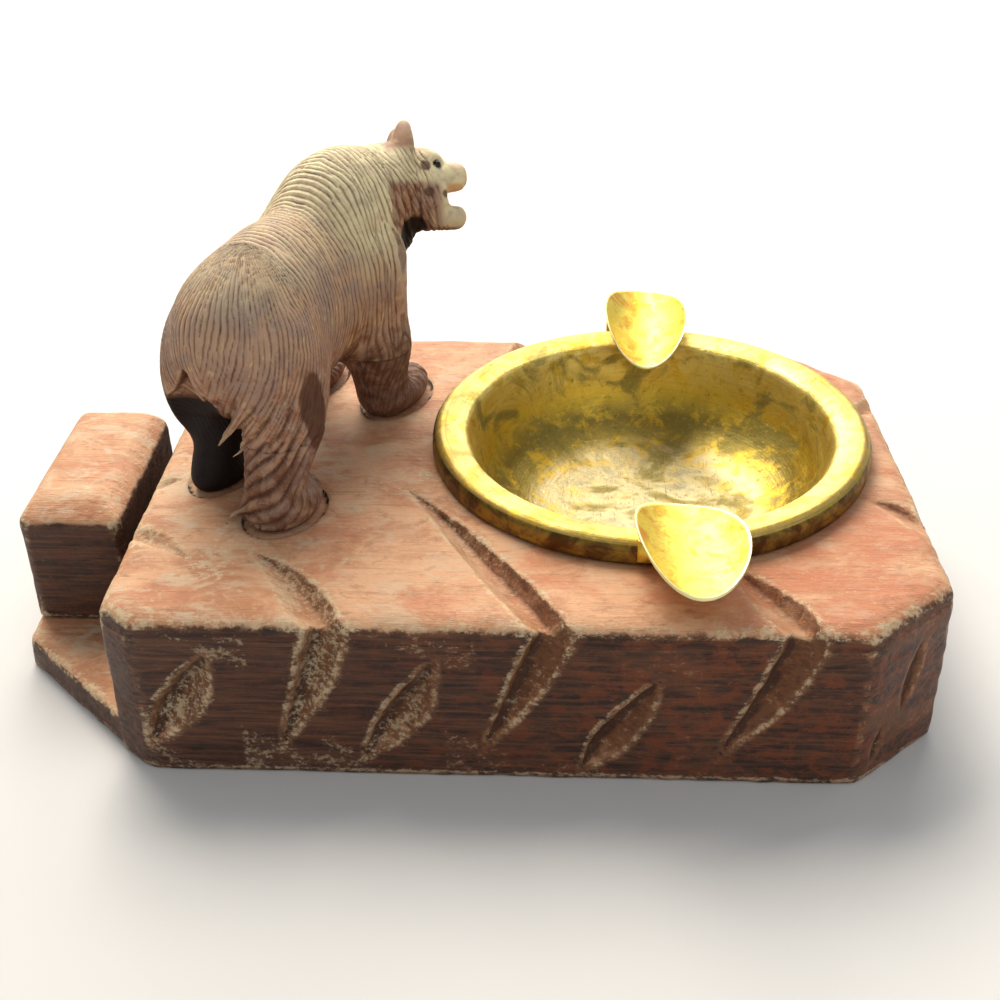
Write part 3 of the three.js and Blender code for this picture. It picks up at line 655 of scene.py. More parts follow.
@dataclass(frozen=True)
class SpunBrass:
    """Sheet brass spun into a bowl, unlacquered, dulled by ash and years of handling.

    It has no mirror shine left: the rim that hands touch is yellow, the walls carry olive tarnish in cloudy
    patches, the floor is greyed and scratched by stubbed ends, and the outer band has gone brown.
    """

    name: str
    bright: str = "#ecd680"
    yellow: str = "#d8b540"
    olive: str = "#8f8347"
    ash: str = "#cbbf97"
    brown: str = "#5c4326"

    def build(self) -> bpy.types.Material:
        """Mixes the finish."""
        b = Bench(self.name)
        zone, outer = b.kept("radius"), b.kept("outer")
        cloud = b.grain((14, 14, 10), 5, 0.62, 0.8)
        patch = b.grain((6, 6, 5), 5, 0.68, 0.6)
        spots = b.grain((1.8, 1.8, 1.8), 4, 0.7, 0.3)
        rings = b.grain((30, 0.6, 0.6), 3, 0.6, 0.0, b.kept("spun", vector=True), 1.0)
        along = add_node(b.tree, "ShaderNodeValToRGB", {"Fac": b.span(zone, 0.0, 55.0)}, stops=[
            (0.0, self.ash), (0.48, "#c3b488"), (0.62, "#a8964f"), (0.76, "#8f7d3e"), (0.86, self.yellow),
            (0.93, self.bright), (1.0, "#c4a85c")]).outputs["Color"]
        wall = b.span(zone, 22, 32)
        colour = b.stain(along, self.yellow, b.sums("MULTIPLY", b.span(patch, 0.48, 0.62), b.span(zone, 12, 30, 0.25, 0.85)))
        colour = b.stain(colour, self.olive, b.sums("MULTIPLY", b.span(cloud, 0.48, 0.64), b.span(zone, 44, 49, 0.85, 0.45)))
        colour = b.stain(colour, "#8d8a74", b.sums("MULTIPLY", b.span(zone, 30, 16), b.span(cloud, 0.50, 0.36, 0.0, 0.7)))
        colour = b.stain(colour, "#6a5c33", b.span(spots, 0.58, 0.74, 0.0, 0.6))
        colour = b.stain(colour, "#f0dd92", b.span(b.grain((1.1, 1.1, 1.1), 4, 0.7), 0.58, 0.72, 0.0, 0.45))
        # Stubbed ends leave dark scratches about 0.3 mm wide across the floor.
        scratch = b.grain((0.5, 8, 8), 3, 0.7, 1.4)
        floor = b.span(zone, 33, 20)
        colour = b.stain(colour, "#6b6650", b.sums("MULTIPLY", floor, b.span(scratch, 0.58, 0.68, 0.0, 0.7)))
        colour = b.stain(colour, "#7d7040", b.sums("MULTIPLY", b.span(rings, 0.52, 0.66), b.span(zone, 46, 50, 0.15, 0.5)))
        colour = b.stain(colour, self.brown, b.sums("MULTIPLY", outer, b.span(patch, 0.36, 0.60, 1.0, 0.6)))
        rough = b.sums("ADD", b.span(cloud, 0.35, 0.65, 0.44, 0.58), b.sums("MULTIPLY", floor, 0.12))
        rough = b.sums("ADD", rough, b.sums("MULTIPLY", b.span(spots, 0.5, 0.75), b.sums("ADD", 0.06, b.sums("MULTIPLY", wall, 0.06))))
        normal = b.relief(rings, 0.07)
        normal = b.relief(b.grain((5, 5, 5), 3, 0.5), 0.30, normal)
        normal = b.relief(b.grain((0.8, 0.8, 0.8), 3, 0.6), 0.06, normal)
        return b.finish(colour, rough, normal, Metallic=1.0)


@dataclass(frozen=True)
class BentBrass:
    """Thin brass sheet cut and bent by hand, rubbed bright where cigarettes and fingers touch it.

    It keeps a clean satin yellow with orange bloom in places, hair-fine dark scratches and small pits, and a
    pale line where the cut edge shows.
    """

    name: str
    bright: str = "#f6df62"
    deep: str = "#e0b43c"
    bloom: str = "#dc9440"

    def build(self) -> bpy.types.Material:
        """Mixes the finish."""
        b = Bench(self.name)
        cloud = b.grain((5, 5, 5), 5, 0.68, 0.6)
        pits = b.grain((1.0, 1.0, 1.0), 4, 0.7)
        hair = b.grain((7, 1.3, 1.3), 4, 0.75, 1.8)
        colour = b.stain(self.bright, self.deep, b.span(cloud, 0.46, 0.64, 0.0, 0.85))
        colour = b.stain(colour, self.bloom, b.span(b.grain((10, 10, 10), 4, 0.65, 0.6), 0.52, 0.66, 0.0, 0.75))
        colour = b.stain(colour, "#a8893a", b.span(hair, 0.615, 0.65, 0.0, 0.6))
        colour = b.stain(colour, "#96742c", b.span(pits, 0.62, 0.76, 0.0, 0.7))
        colour = b.stain(colour, "#fbf3b8", b.span(b.kept("edge"), 0.2, 0.9, 0.0, 0.9))
        rough = b.span(cloud, 0.35, 0.7, 0.44, 0.58)
        normal = b.relief(b.grain((4.0, 4.0, 4.0), 3, 0.5), 0.16, None)
        normal = b.relief(pits, 0.07, normal)
        return b.finish(colour, rough, normal, Metallic=1.0)


# ---------------------------------------------------------------- wooden base


@dataclass(frozen=True)
class Gouge:
    """One cut of a gouge along a face. Points are on the face, half and depth in millimetres.

    run gives the parts of its length over which the two ends taper to a point. lean is the side that the
    deepest line lies toward, from -1 to 1, so that one wall is steep and the other a long lit facet.
    """

    at: tuple
    half: float
    depth: float
    run: tuple = (0.75, 0.0)
    lean: float = -0.45

    def hollow(self, across: Array, above: Array) -> Array:
        """How far a point lies outside the wood that the cut leaves.

        Args:
            across: the two coordinates in the plane of the face.
            above: height over the face.

        Returns:
            The cut's field, positive where the wood is gone.
        """
        path = smooth_path(self.at, 18)
        low, high = path.min(axis=0) - self.half - 4, path.max(axis=0) + self.half + 4
        out = np.full(len(across), -9.0)
        near = ((across > low) & (across < high)).all(axis=1) & (above > -self.depth - 4)
        q, best, place = across[near], np.full(int(near.sum()), 1e9), np.zeros(int(near.sum()))
        side = np.ones(len(q))
        for i, (a, b) in enumerate(zip(path, path[1:])):
            along = b - a
            t = np.clip((q - a) @ along / (along @ along), 0, 1)
            off = q - a - t[:, None] * along
            gap = np.linalg.norm(off, axis=1)
            closer = gap < best
            best[closer], place[closer] = gap[closer], (i + t[closer]) / 18
            side[closer] = np.sign(along[0] * off[:, 1] - along[1] * off[:, 0])[closer]
        ends = [place / self.run[0] if self.run[0] else 1.0, (1 - place) / self.run[1] if self.run[1] else 1.0]
        size = np.maximum(0.08, np.sin(np.pi / 2 * np.minimum(1.0, np.minimum(*ends))))
        # The tool leaves a slightly uneven wall.
        spot = np.stack([place * 40, q[:, 0] * 0, q[:, 1] * 0], axis=1)
        wide = self.half * size * (1 + 0.07 * lumps(spot, (1.7, 1, 1), int(self.half * 31 + q.shape[1])))
        from_deepest = side * best / wide - self.lean
        form = 1 - (np.abs(from_deepest) / (1 + np.sign(from_deepest) * -self.lean)) ** 1.5
        out[near] = (above[near] + self.depth * size * np.maximum(form, -3)) * 0.72
        return out


@dataclass
class WoodBase:
    """Block with cut corners, a low ledge at its left end, a turned recess and gouge cuts all round."""

    half_length: float = 109.8
    half_width: float = 69.25
    height: float = 43.1
    edge: float = 3.6
    body_left: float = -78.6
    ledge_height: float = 8.9
    bowl: tuple = (44.5, 8.3)
    cell: float = 0.95
    top_cuts: tuple = (
        Gouge(((-48.5, -41.5), (-38.5, -52), (-31.5, -63), (-27, -73)), 5.0, 4.2, lean=0.35),
        Gouge(((-17, -13), (-8, -24), (5, -44), (16, -61), (22.5, -73)), 4.4, 4.4, lean=0.35),
        Gouge(((59, -44), (66, -54), (71.5, -63), (75, -73)), 5.2, 4.2, lean=0.35),
        Gouge(((-59, -47.5), (-70, -38.8), (-82, -33)), 3.0, 2.6, lean=0.0),
        Gouge(((-70, -11.5), (-76, -13), (-82, -14.5)), 3.2, 2.8, lean=0.0),
        Gouge(((94, -16.5), (101, -20.5), (106, -26), (112, -33)), 4.0, 3.2, lean=0.35),
        Gouge(((96, 24), (102, 28.5), (109, 34)), 4.0, 3.0, lean=0.0),
        Gouge(((5, 51), (10.5, 61), (15, 73)), 4.4, 3.6, lean=0.0),
    )
    front_cuts: tuple = (
        Gouge(((-53, 34.5), (-59.5, 22), (-69, 8)), 4.6, 4.4, (0.5, 0.45)),
        Gouge(((-25.5, 44.5), (-31, 27), (-39.5, 7)), 4.4, 4.0, (0.0, 0.8)),
        Gouge(((-3.5, 34), (-10, 20), (-21.5, 4.5)), 4.4, 4.0, (0.5, 0.5)),
        Gouge(((23.5, 44.5), (15.5, 26), (5.5, 7.5)), 4.2, 4.0, (0.0, 0.8)),
        Gouge(((45, 30), (38, 17), (27.5, 2.5)), 4.0, 3.6, (0.6, 0.4)),
        Gouge(((77, 44.5), (69, 25), (57.5, 7)), 4.6, 4.0, (0.0, 0.8)),
    )
    back_cuts: tuple = (
        Gouge(((14, 44.5), (19, 27), (28, 7)), 4.2, 3.8, (0.0, 0.8)),
        Gouge(((-56, 34), (-50, 20), (-40, 6)), 4.2, 3.8, (0.5, 0.5)),
        Gouge(((-22, 34), (-16, 20), (-6, 6)), 4.2, 3.8, (0.5, 0.5)),
        Gouge(((46, 34), (52, 20), (62, 6)), 4.2, 3.8, (0.5, 0.5)),
    )
    corner_cuts: tuple = (
        Gouge(((102.3, 34.5), (100.7, 24), (98.6, 13)), 2.0, 1.8, (0.5, 0.5)),
        Gouge(((94.6, 15), (93.6, 9), (92.4, 3)), 1.5, 1.2, (0.5, 0.5)),
    )
    recess: tuple = ((0, 21.8), (22.3, 22.2), (31, 23.7), (38.9, 27.6), (44.4, 34.6), (46.9, 42.4), (47.2, 60))
    paw_beds: tuple = ()

    def outlines(self) -> tuple[list, list]:
        """Corners of the body and of the ledge, anticlockwise from above."""
        front = [(self.body_left, -62.8), (-70.3, -self.half_width)]
        body = [*front, (89.4, -self.half_width), (self.half_length, -50.75), (105, 45), (76, self.half_width),
                *[(x, -y) for x, y in reversed(front)]]
        left = [(-self.half_length, -32.1), (-72, -67.65), (-60, -66)]
        return body, [*left, *[(x, -y) for x, y in reversed(left)]]

    def cuts(self, p: Array) -> Array:
        """Field of all the gouge cuts together, positive where the wood is gone."""
        deepest = np.full(len(p), -9.0)
        x, y, z = p.T
        corner = np.array([0.672, -0.741]) / math.hypot(0.672, 0.741)
        off_corner = (p[:, :2] - (89.4, -self.half_width)) @ corner
        for cuts, across, above in ((self.top_cuts, p[:, :2], z - self.height),
                                    (self.front_cuts, p[:, [0, 2]], -y - self.half_width),
                                    (self.back_cuts, p[:, [0, 2]], y - self.half_width),
                                    (self.corner_cuts, p[:, [0, 2]], off_corner)):
            for cut in cuts:
                deepest = np.maximum(deepest, cut.hollow(across, above))
        return deepest

    def form(self, p: Array) -> Array:
        """Field of the whole base."""
        body, ledge = self.outlines()
        e, top = self.edge, self.height
        wave = 0.18 * lumps(p, (14, 11, 11), 3)
        d = convex_sides(p, body, [(top - e, 0), (top - 0.35 * e, 0.28 * e), (top, e)], 1.3) + 0.12 + wave
        d = smooth_max(d, p[:, 2] - top, 0.3)
        # The worn roll of the edge ends in a shallow scribed line on the upright faces.
        line = top - e - 1.0 + 0.5 * lumps(p, (19, 19, 40), 5)
        d = d + 0.34 * np.exp(-((p[:, 2] - line) / 0.75) ** 2) * (0.6 + 0.4 * lumps(p, (12, 12, 30), 6))
        low = convex_sides(p, ledge, [(self.ledge_height - 1.5, 0), (self.ledge_height - 0.5, 0.42),
                                      (self.ledge_height, 1.5)], 0.9)
        d = smooth_min(d, smooth_max(low, p[:, 2] - self.ledge_height, 0.3) + 0.05, 0.5)
        r = np.hypot(p[:, 0] - self.bowl[0], p[:, 1] - self.bowl[1])
        rr, zz = np.array(self.recess).T
        bore = np.minimum((p[:, 2] - np.interp(r, rr, zz)) * 0.6, 47.0 - r)
        d = smooth_max(d, bore, 0.3)
        d = smooth_max(d, self.cuts(p), 0.45)
        for centre, radii, turn in self.paw_beds:
            q = (p[:, :2] - centre) @ turn
            oval = 1 - np.hypot(q[:, 0] / radii[0], q[:, 1] / radii[1])
            d = smooth_max(d, np.minimum(oval * min(radii), (p[:, 2] - (top - 1.0)) * 0.9), 0.5)
        return smooth_max(d, -p[:, 2], 0.7)

    def build(self, finish: StainedWood) -> bpy.types.Object:
        """Carves the base, marks its edges and cuts for the stain, and dresses it."""
        low, high = [np.array(c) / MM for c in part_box("wood_base")]
        skin = skin_of(self.form, low - 1.1, high + 1.3, self.cell)
        edge, worn = skin.proud(4), skin.proud(18)
        gone = self.cuts(skin.points)
        cut, mouth = np.clip(1.1 + gone * 1.3, 0, 1), ramp(gone, -2.2, -0.3)
        up = skin.normals[:, 2].copy()
        # Flat chisel work leaves the faces a little uneven, more so along the worn edges.
        fine = lumps(skin.points, (9, 3.2, 3.2), 11) + 0.6 * lumps(skin.points, (3.4, 1.5, 1.5), 12)
        rough = 0.05 + 0.16 * ramp(np.abs(worn), 0.05, 0.4)
        inner = np.hypot(skin.points[:, 0] - self.bowl[0], skin.points[:, 1] - self.bowl[1]) < 55.5
        push = np.where(inner, 0.0, rough * (fine - 1.0))
        points = skin.points + skin.normals * push[:, None]
        points[:, 2] = np.where(skin.points[:, 2] < 0.06, 0.0, points[:, 2])
        points[:, 2] = np.clip(points[:, 2], 0.0, self.height)
        faces = self.one_underside(points, skin.quads)
        piece = mesh_object("carved_base", points, faces, {
            "edge": edge, "worn": worn, "cut": cut, "mouth": mouth, "up": up})
        hand_over(piece, "wood_base", Slot.BASE, finish.build())
        return piece

    @staticmethod
    def one_underside(points: Array, quads: Array) -> list:
        """Puts one large face in the place of the many small ones that lie flat on the table.

        Args:
            points: corners.
            quads: faces.

        Returns:
            The faces with the underside as one.
        """
        flat = (points[quads, 2] < 1e-4).all(axis=1)
        kept, gone = quads[~flat], quads[flat]
        start = np.concatenate([gone[:, i] for i in range(4)])
        end = np.concatenate([gone[:, (i + 1) % 4] for i in range(4)])
        pairs = set(zip(start.tolist(), end.tolist()))
        following = {a: b for a, b in pairs if (b, a) not in pairs}
        loops = []
        while following:
            first = next(iter(following))
            loop, here = [first], following.pop(first)
            while here != first and here in following:
                loop.append(here)
                here = following.pop(here)
            loops.append(loop)
        return [*kept.tolist(), max(loops, key=len)] if loops else quads.tolist()


@dataclass
class MatchBlock:
    """Upright block at the left end that a matchbox cover is pushed over, its top edges worked down."""

    x: tuple = (-109.5, -83.6)
    y: tuple = (-25.4, 26.0)
    bottom: float = 9.2
    top: float = 41.8
    cell: float = 0.62

    def form(self, p: Array) -> Array:
        """Field of the block."""
        (x0, x1), (y0, y1), c = self.x, self.y, 1.8
        outline = [(x0 + c, y0), (x1 - c, y0), (x1, y0 + c), (x1, y1 - c), (x1 - c, y1), (x0 + c, y1),
                   (x0, y1 - c), (x0, y0 + c)]
        d = convex_sides(p, outline, [(self.top - 0.01, 0), (self.top, 0)], 0.7)
        for q, mid, last in ((x0 - p[:, 0], 0.8, 3.6), (p[:, 0] - x1, 1.4, 5.6), (y0 - p[:, 1], 1.8, 7.2),
                             (p[:, 1] - y1, 0.5, 2.2)):
            for (z0, i0), (z1, i1) in (((37.2, 0), (39.2, mid)), ((39.2, mid), (41.8, last))):
                flat = math.hypot(z1 - z0, i1 - i0)
                d = smooth_max(d, ((q + i0) * (z1 - z0) + (p[:, 2] - z0) * (i1 - i0)) / flat, 1.0)
        return smooth_max(d + 0.08 + 0.12 * lumps(p, (9, 8, 7), 21), self.bottom - p[:, 2], 0.5)

    def build(self, finish: StainedWood) -> bpy.types.Object:
        """Shapes the block and dresses it."""
        low, high = [np.array(c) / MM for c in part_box("match_block")]
        skin = skin_of(self.form, low - 1.3, high + 1.1, self.cell)
        edge, worn = skin.proud(6), skin.proud(26)
        fine = lumps(skin.points, (5, 3, 3), 22) + 0.6 * lumps(skin.points, (2, 1.2, 1.2), 23)
        points = skin.points + skin.normals * (0.06 * (fine - 1.0))[:, None]
        points[:, 2] = np.maximum(points[:, 2], self.bottom)
        piece = mesh_object("matchbox_block", points, skin.quads,
                            {"edge": edge, "worn": worn, "cut": np.zeros(len(points)),
                             "mouth": np.zeros(len(points)), "up": skin.normals[:, 2]})
        hand_over(piece, "match_block", Slot.BLOCK, finish.build())
        return piece


# ---------------------------------------------------------------- bear


@dataclass(frozen=True)
class Leg:
    """Measures of one side's legs, in the bear's own frame: s forward, t to the right side, h up."""

    side: int
    thigh: tuple
    hind: tuple
    fore: tuple
    shank: tuple
    foot: tuple


@dataclass
class Bear:
    """Standing bear with its head turned to its right and its mouth open."""

    place: tuple = (-45.0, 8.0, 43.1)
    heading: float = 20.0
    head_at: tuple = (42.0, 13.0, 55.5)
    head_turn: tuple = (52.0, -2.0, 28.0)
    paw: tuple = (12.5, 7.5, 5.0)
    cell: float = 0.52
    legs: tuple = (
        Leg(-1, (-18, -12.6, 27), (-22, -8.8), (29, -12), (8.4, 5.6), (11.5, 6.4, 5.5)),
        Leg(1, (-22, 11.4, 29), (-32, 12.8), (29, 12.5), (9, 6.8), (11.5, 8.2, 5.5)),
    )
    spine: tuple = ((-15, 0.2), (0, 0.5), (20, 2.5), (32, 7), (42, 13), (48.2, 20.9))
    coat_edge: tuple = ((-22, 20), (-13, 27), (-4.5, 38), (-2.2, 28), (-0.2, 32), (1.8, 28.5), (3.4, 31), (6, 25),
                        (14, 16))

    def own(self, p: Array) -> Array:
        """Turns points into the bear's own frame."""
        a = math.radians(self.heading)
        d = p - np.array(self.place)
        return np.stack([d[:, 0] * math.sin(a) + d[:, 1] * math.cos(a),
                         d[:, 0] * math.cos(a) - d[:, 1] * math.sin(a), d[:, 2]], axis=1)

    def out(self, q: Sequence[float]) -> Array:
        """Turns one point of the bear's own frame back."""
        a, (s, t, h) = math.radians(self.heading), q
        return np.array(self.place) + (s * math.sin(a) + t * math.cos(a), s * math.cos(a) - t * math.sin(a), h)

    def paw_beds(self) -> tuple:
        """Centre, radii and axes of the shallow bed in the base's top under each paw."""
        a = math.radians(self.heading)
        turn = np.array([[math.sin(a), math.cos(a)], [math.cos(a), -math.sin(a)]])
        beds = []
        for leg in self.legs:
            for (s, t), size, ahead in ((leg.hind, leg.foot, 1.5), (leg.fore, self.paw, 1.0)):
                centre = self.out((s + ahead, t + 0.5 * leg.side, 0))[:2]
                beds.append((centre, (size[0] + 1.0, size[1] + 1.0), turn))
        return tuple(beds)

    def in_head(self, q: Array) -> Array:
        """Turns points of the bear's frame into the head's: x to the nose, y right, z up."""
        return (q - np.array(self.head_at)) @ axes(*self.head_turn)

    def head(self, q: Array) -> Array:
        """Field of the head with its muzzle, open jaw, ears and eyes."""
        p = self.in_head(q)
        d = egg(p, (0, 0, 0), (9.5, 8.2, 9.0))
        d = smooth_min(d, egg(p, (3.5, 0, -4.5), (7.5, 7.6, 7.0)), 2.5)
        d = smooth_min(d, egg(p, (4.5, 0, 5.0), (5.5, 5.6, 3.6)), 2.0)
        muzzle = taper(p, (6, 0, 0.4), (11.2, 0, 0.6), 5.2, 4.2)
        d = smooth_min(d, muzzle, 1.6)
        d = smooth_min(d, egg(p, (13.6, 0, 1.0), (2.4, 3.2, 3.2)), 1.2)
        d = smooth_min(d, taper(p, (4, 0, -8.4), (11.6, 0, -9.4), 4.2, 3.2), 1.2)
        # Open mouth: a wedge between muzzle and jaw that runs back to the cheek.
        d = smooth_max(d, -egg(p, (11.5, 0, -4.6), (6.5, 4.4, 1.9), axes(0, -4, 0)), 0.7)
        for side in (-1, 1):
            # Heavy brow over a sunk eye bead, and a nostril.
            d = smooth_max(d, -egg(p, (8.4, 4.9 * side, 3.9), (2.2, 1.5, 1.1), axes(-18 * side)), 0.5)
            d = smooth_min(d, egg(p, (7.6, 4.45 * side, 3.7), (1.0, 1.0, 0.95)), 0.15)
            d = smooth_max(d, -egg(p, (15.7, 1.5 * side, 1.5), (1.1, 0.8, 0.75)), 0.4)
            turn = axes(-8 * side, -6, 8 * side)
            ear = egg(p, (-0.6, 6.0 * side, 8.2), (3.0, 3.6, 7.0), turn)
            ear = smooth_max(ear, -egg(p, (2.2, 6.0 * side, 9.6), (2.3, 2.3, 4.6), turn), 0.6)
            d = smooth_min(d, ear, 0.8)
            # Undercut behind the ear, where the head's fur starts.
            d = smooth_max(d, -egg(p, (-4.2, 7.4 * side, 3.4), (1.2, 3.0, 1.1), turn), 0.6)
        return d

    def form(self, p: Array) -> Array:
        """Field of the whole bear without its coat's strokes."""
        q = self.own(p)
        d = egg(q, (-5, 0.5, 38.3), (31, 16.4, 22))
        d = smooth_min(d, egg(q, (-20.5, 0.3, 38), (17.2, 16.2, 18.6)), 6)
        d = smooth_min(d, egg(q, (17.5, 0.5, 40), (15.5, 16.5, 23.5)), 8)
        d = smooth_min(d, egg(q, (34, 5, 38), (8.5, 9, 12)), 5)
        d = smooth_min(d, egg(q, (25.5, 3.2, 59.3), (9.8, 8, 9.4)), 8)
        d = smooth_min(d, taper(q, (22, 3, 54), (37, 9, 56.5), 13.5, 10.5), 5)
        d = smooth_min(d, taper(q, (33, 7, 46), (39, 11.5, 43.5), 8, 4.5), 4)
        for leg in self.legs:
            (hs, ht), (fs, ft), side = leg.hind, leg.fore, leg.side
            thigh = egg(q, leg.thigh, (14, 8.8, 18.5), axes(0, 8, 0))
            hind = taper(q, (hs + 5, ht, 20), (hs - 2, ht, 7), *leg.shank)
            hind = smooth_min(hind, egg(q, (hs + 1.5, ht + 0.5 * side, 2.5), leg.foot), 3)
            if side < 0:
                d = smooth_min(d, thigh, 4)
                # Hollow under the rump, its upper edge cut into pointed locks that hang over the left leg.
                t, h = np.array(self.coat_edge).T
                under = smooth_max(egg(q, (-38.5, -9.0, 11.5), (12, 12, 27)), (q[:, 2] - np.interp(q[:, 1], t, h)) * 0.5,
                                   0.5)
                d = smooth_max(d, -under, 0.8)
                d = smooth_min(d, hind, 3)
            else:
                d = smooth_min(d, smooth_min(hind, thigh, 5), 4)
            fore = taper(q, (fs - 7, side * 10, 42), (fs - 8, ft, 20), 11, 8.4)
            fore = smooth_min(fore, taper(q, (fs - 8, ft, 20), (fs - 6, ft, 6), 8.2, 7), 4)
            fore = smooth_min(fore, egg(q, (fs + 1, ft + 0.5 * side, 2.5), self.paw), 3)
            d = smooth_min(d, fore, 4)
        # Long locks of the right thigh end in points over the shank, and a tuft stands out at the heel.
        for a, b, ra in (((-33, 8, 28), (-38.2, 2.6, 19.5), 3.0), ((-31, 13, 26), (-39, 6.5, 17.5), 3.0),
                         ((-28, 17, 25), (-37.5, 12.5, 17), 3.0), ((-36, 8.5, 4), (-43, 4.5, 1.6), 2.6)):
            d = smooth_min(d, taper(q, a, b, ra, 0.35), 1.2)
        d = smooth_min(d, self.head(q), 2.5)
        return smooth_max(d, -0.7 - q[:, 2], 0.3)

    def lanes(self, q: Array) -> tuple[Array, Array]:
        """Place across and along the strokes of the coat.

        Args:
            q: points in the bear's own frame.

        Returns:
            Distance across the strokes and distance down them, in millimetres.
        """
        nodes = np.array(self.spine, float)
        start, best = nodes[0, 0], np.full(len(q), 1e9)
        u, reach = np.zeros(len(q)), np.zeros(len(q))
        for i, (a, b) in enumerate(zip(nodes, nodes[1:])):
            along, size = b - a, np.linalg.norm(b - a)
            free = (q[:, :2] - a) @ along / size**2
            t = np.clip(free, 0, 1)
            off = q[:, :2] - a - t[:, None] * along
            gap = np.linalg.norm(off, axis=1)
            closer = gap < best
            fan = np.zeros(len(q))
            if i == 0:
                fan = -np.arctan2(np.maximum(-(off @ along) / size, 0), np.abs(off[:, 1]) + 1e-6) * 22.0
            best[closer] = gap[closer]
            u[closer] = start + t[closer] * size + fan[closer]
            reach[closer] = gap[closer]
            start += size
        s, h = q[:, 0], q[:, 2]
        drop = np.maximum(0, 46 - h)
        rear = ramp(s, 12, -16)
        u = u + rear * (0.12 * drop + 0.0125 * drop**2) + ramp(s, 18, 34) * 0.45 * (h - 66)
        v = reach - h
        # Below the belly the strokes run round each leg.
        low = h < 19
        for leg in self.legs:
            for (ls, lt), size in ((leg.hind, 7.5), ((leg.fore[0] - 7, leg.fore[1]), 7.5)):
                ds, dt = s - ls, q[:, 1] - lt
                mine = low & (np.hypot(ds, dt) < 15)
                angle = np.arctan2(dt * leg.side, ds)
                lean = 0.55 if ls < 0 else 0.25
                u[mine] = (angle * size + lean * h)[mine] + 300 * leg.side + ls
        return u, v

    def coat(self, q: Array) -> tuple[Array, Array, Array]:
        """Strokes of the V tool, in two sets that run into each other as hand-cut strokes do.

        Args:
            q: points of the skin in the bear's own frame.

        Returns:
            Height of the coat from 0 in a stroke to 1 on a ridge, for each point the stroke of each set that
            it lies in with the share of the second set, and the place down the stroke.
        """
        u, v = self.lanes(q)
        flat = np.stack([u, v, np.zeros(len(u))], axis=1)
        first = u / 1.5 + 0.55 * lumps(flat, (6, 9, 1), 31) + 0.14 * lumps(flat, (2.2, 3.5, 1), 32)
        second = u / 1.27 + 0.55 * lumps(flat, (5, 8, 1), 35) + 0.14 * lumps(flat, (2.0, 3.5, 1), 36)
        share = ramp(lumps(flat, (3.6, 8.5, 1), 37), -0.12, 0.12)
        ridges = [1 - np.abs(2 * (lane - np.floor(lane)) - 1) ** 1.8 for lane in (first, second)]
        ridge = ridges[0] * (1 - share) + ridges[1] * share
        strength = 0.72 + 0.28 * lumps(flat, (1.9, 7, 1), 38)
        return np.clip(1 - (1 - ridge) * strength, 0, 1), np.stack([first, second, share], axis=1), v

    def build(self, finish: CarvedCoat) -> bpy.types.Object:
        """Carves the bear, cuts its coat, works out where painted shade and highlight fall, and dresses it."""
        low, high = [np.array(c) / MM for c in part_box("bear")]
        skin = skin_of(self.form, low - 1.6, high + 1.3, self.cell)
        q, edge = self.own(skin.points), skin.proud(10)
        s, t, h = q.T
        p = self.in_head(q)
        turned = skin.normals @ np.array([[math.sin(math.radians(self.heading)), math.cos(math.radians(self.heading)), 0],
                                          [math.cos(math.radians(self.heading)), -math.sin(math.radians(self.heading)), 0],
                                          [0, 0, 1]]).T
        ridge, lanes, v = self.coat(q)
        u = self.lanes(q)[0]
        left_leg = ramp(t, 1.5, -1.0) * ramp(s, -6, -11) * ramp(h, 27, 23)
        t_edge, h_edge = np.array(self.coat_edge).T
        hollow = ramp(egg(q, (-38.5, -9.0, 11.5), (12, 12, 27)), 1.2, 0.2) * ramp(
            h, np.interp(0.0, t_edge, h_edge) + 9, 0) * (h < np.interp(t, t_edge, h_edge) + 0.2)
        face = ramp(p[:, 0], 3.5, 7.0) * ramp(p[:, 2], -13, -10)
        ear = ramp(p[:, 2], 6.5, 8.5) * ramp(np.abs(p[:, 1]), 2.5, 4.0) * ramp(np.abs(p[:, 0]), 7, 5)
        cheek = ramp(np.abs(p[:, 0]), 9.5, 6.0) * ramp(p[:, 2], 0.5, -2.5) * ramp(p[:, 2], -15, -12) * (1 - hollow)
        cheek = cheek * (np.linalg.norm(p, axis=1) < 17)
        shank = (t > 3) * ramp(s, -12, -16) * ramp(h, 23, 20) * ramp(h, 0.6, 2.0)
        around = np.arctan2(-(s + 32), t - 12.8)
        wrap = around * 8.0
        on_wrap = ramp(around, -0.75, -0.35) * ramp(around, 2.7, 2.2)
        foot = ramp(h, 7.5, 5.5) * ramp(around, 1.2, 0.3) * (t > 3) * (s < -15)
        paws = ramp(h, 7.5, 5.5) * (s > 16)
        # Strokes are 0.4 mm deep on the body, finer on the head, and gone from the muzzle, ears and toes.
        depth = 0.36 * (1 - face) * (1 - ear) * (1 - 0.8 * shank * on_wrap) * (1 - 0.85 * foot) * (1 - 0.5 * paws)
        depth = depth * (1 - 0.6 * left_leg) * (1 - 0.85 * hollow)
        push = -depth * (1 - ridge)
        # Seven S-shaped cuts wrap the right shank from the front down to the heel.
        line = (h + 0.78 * wrap + 1.3 * np.sin(wrap / 3.4) + 0.5 * lumps(q, (6, 6, 6), 41)) / 3.7
        groove = np.abs(2 * (line - np.floor(line)) - 1)
        big = shank * on_wrap * (1 - foot) * (1 - groove**1.4)
        push = push - 1.25 * (shank * on_wrap * (1 - foot) - big)
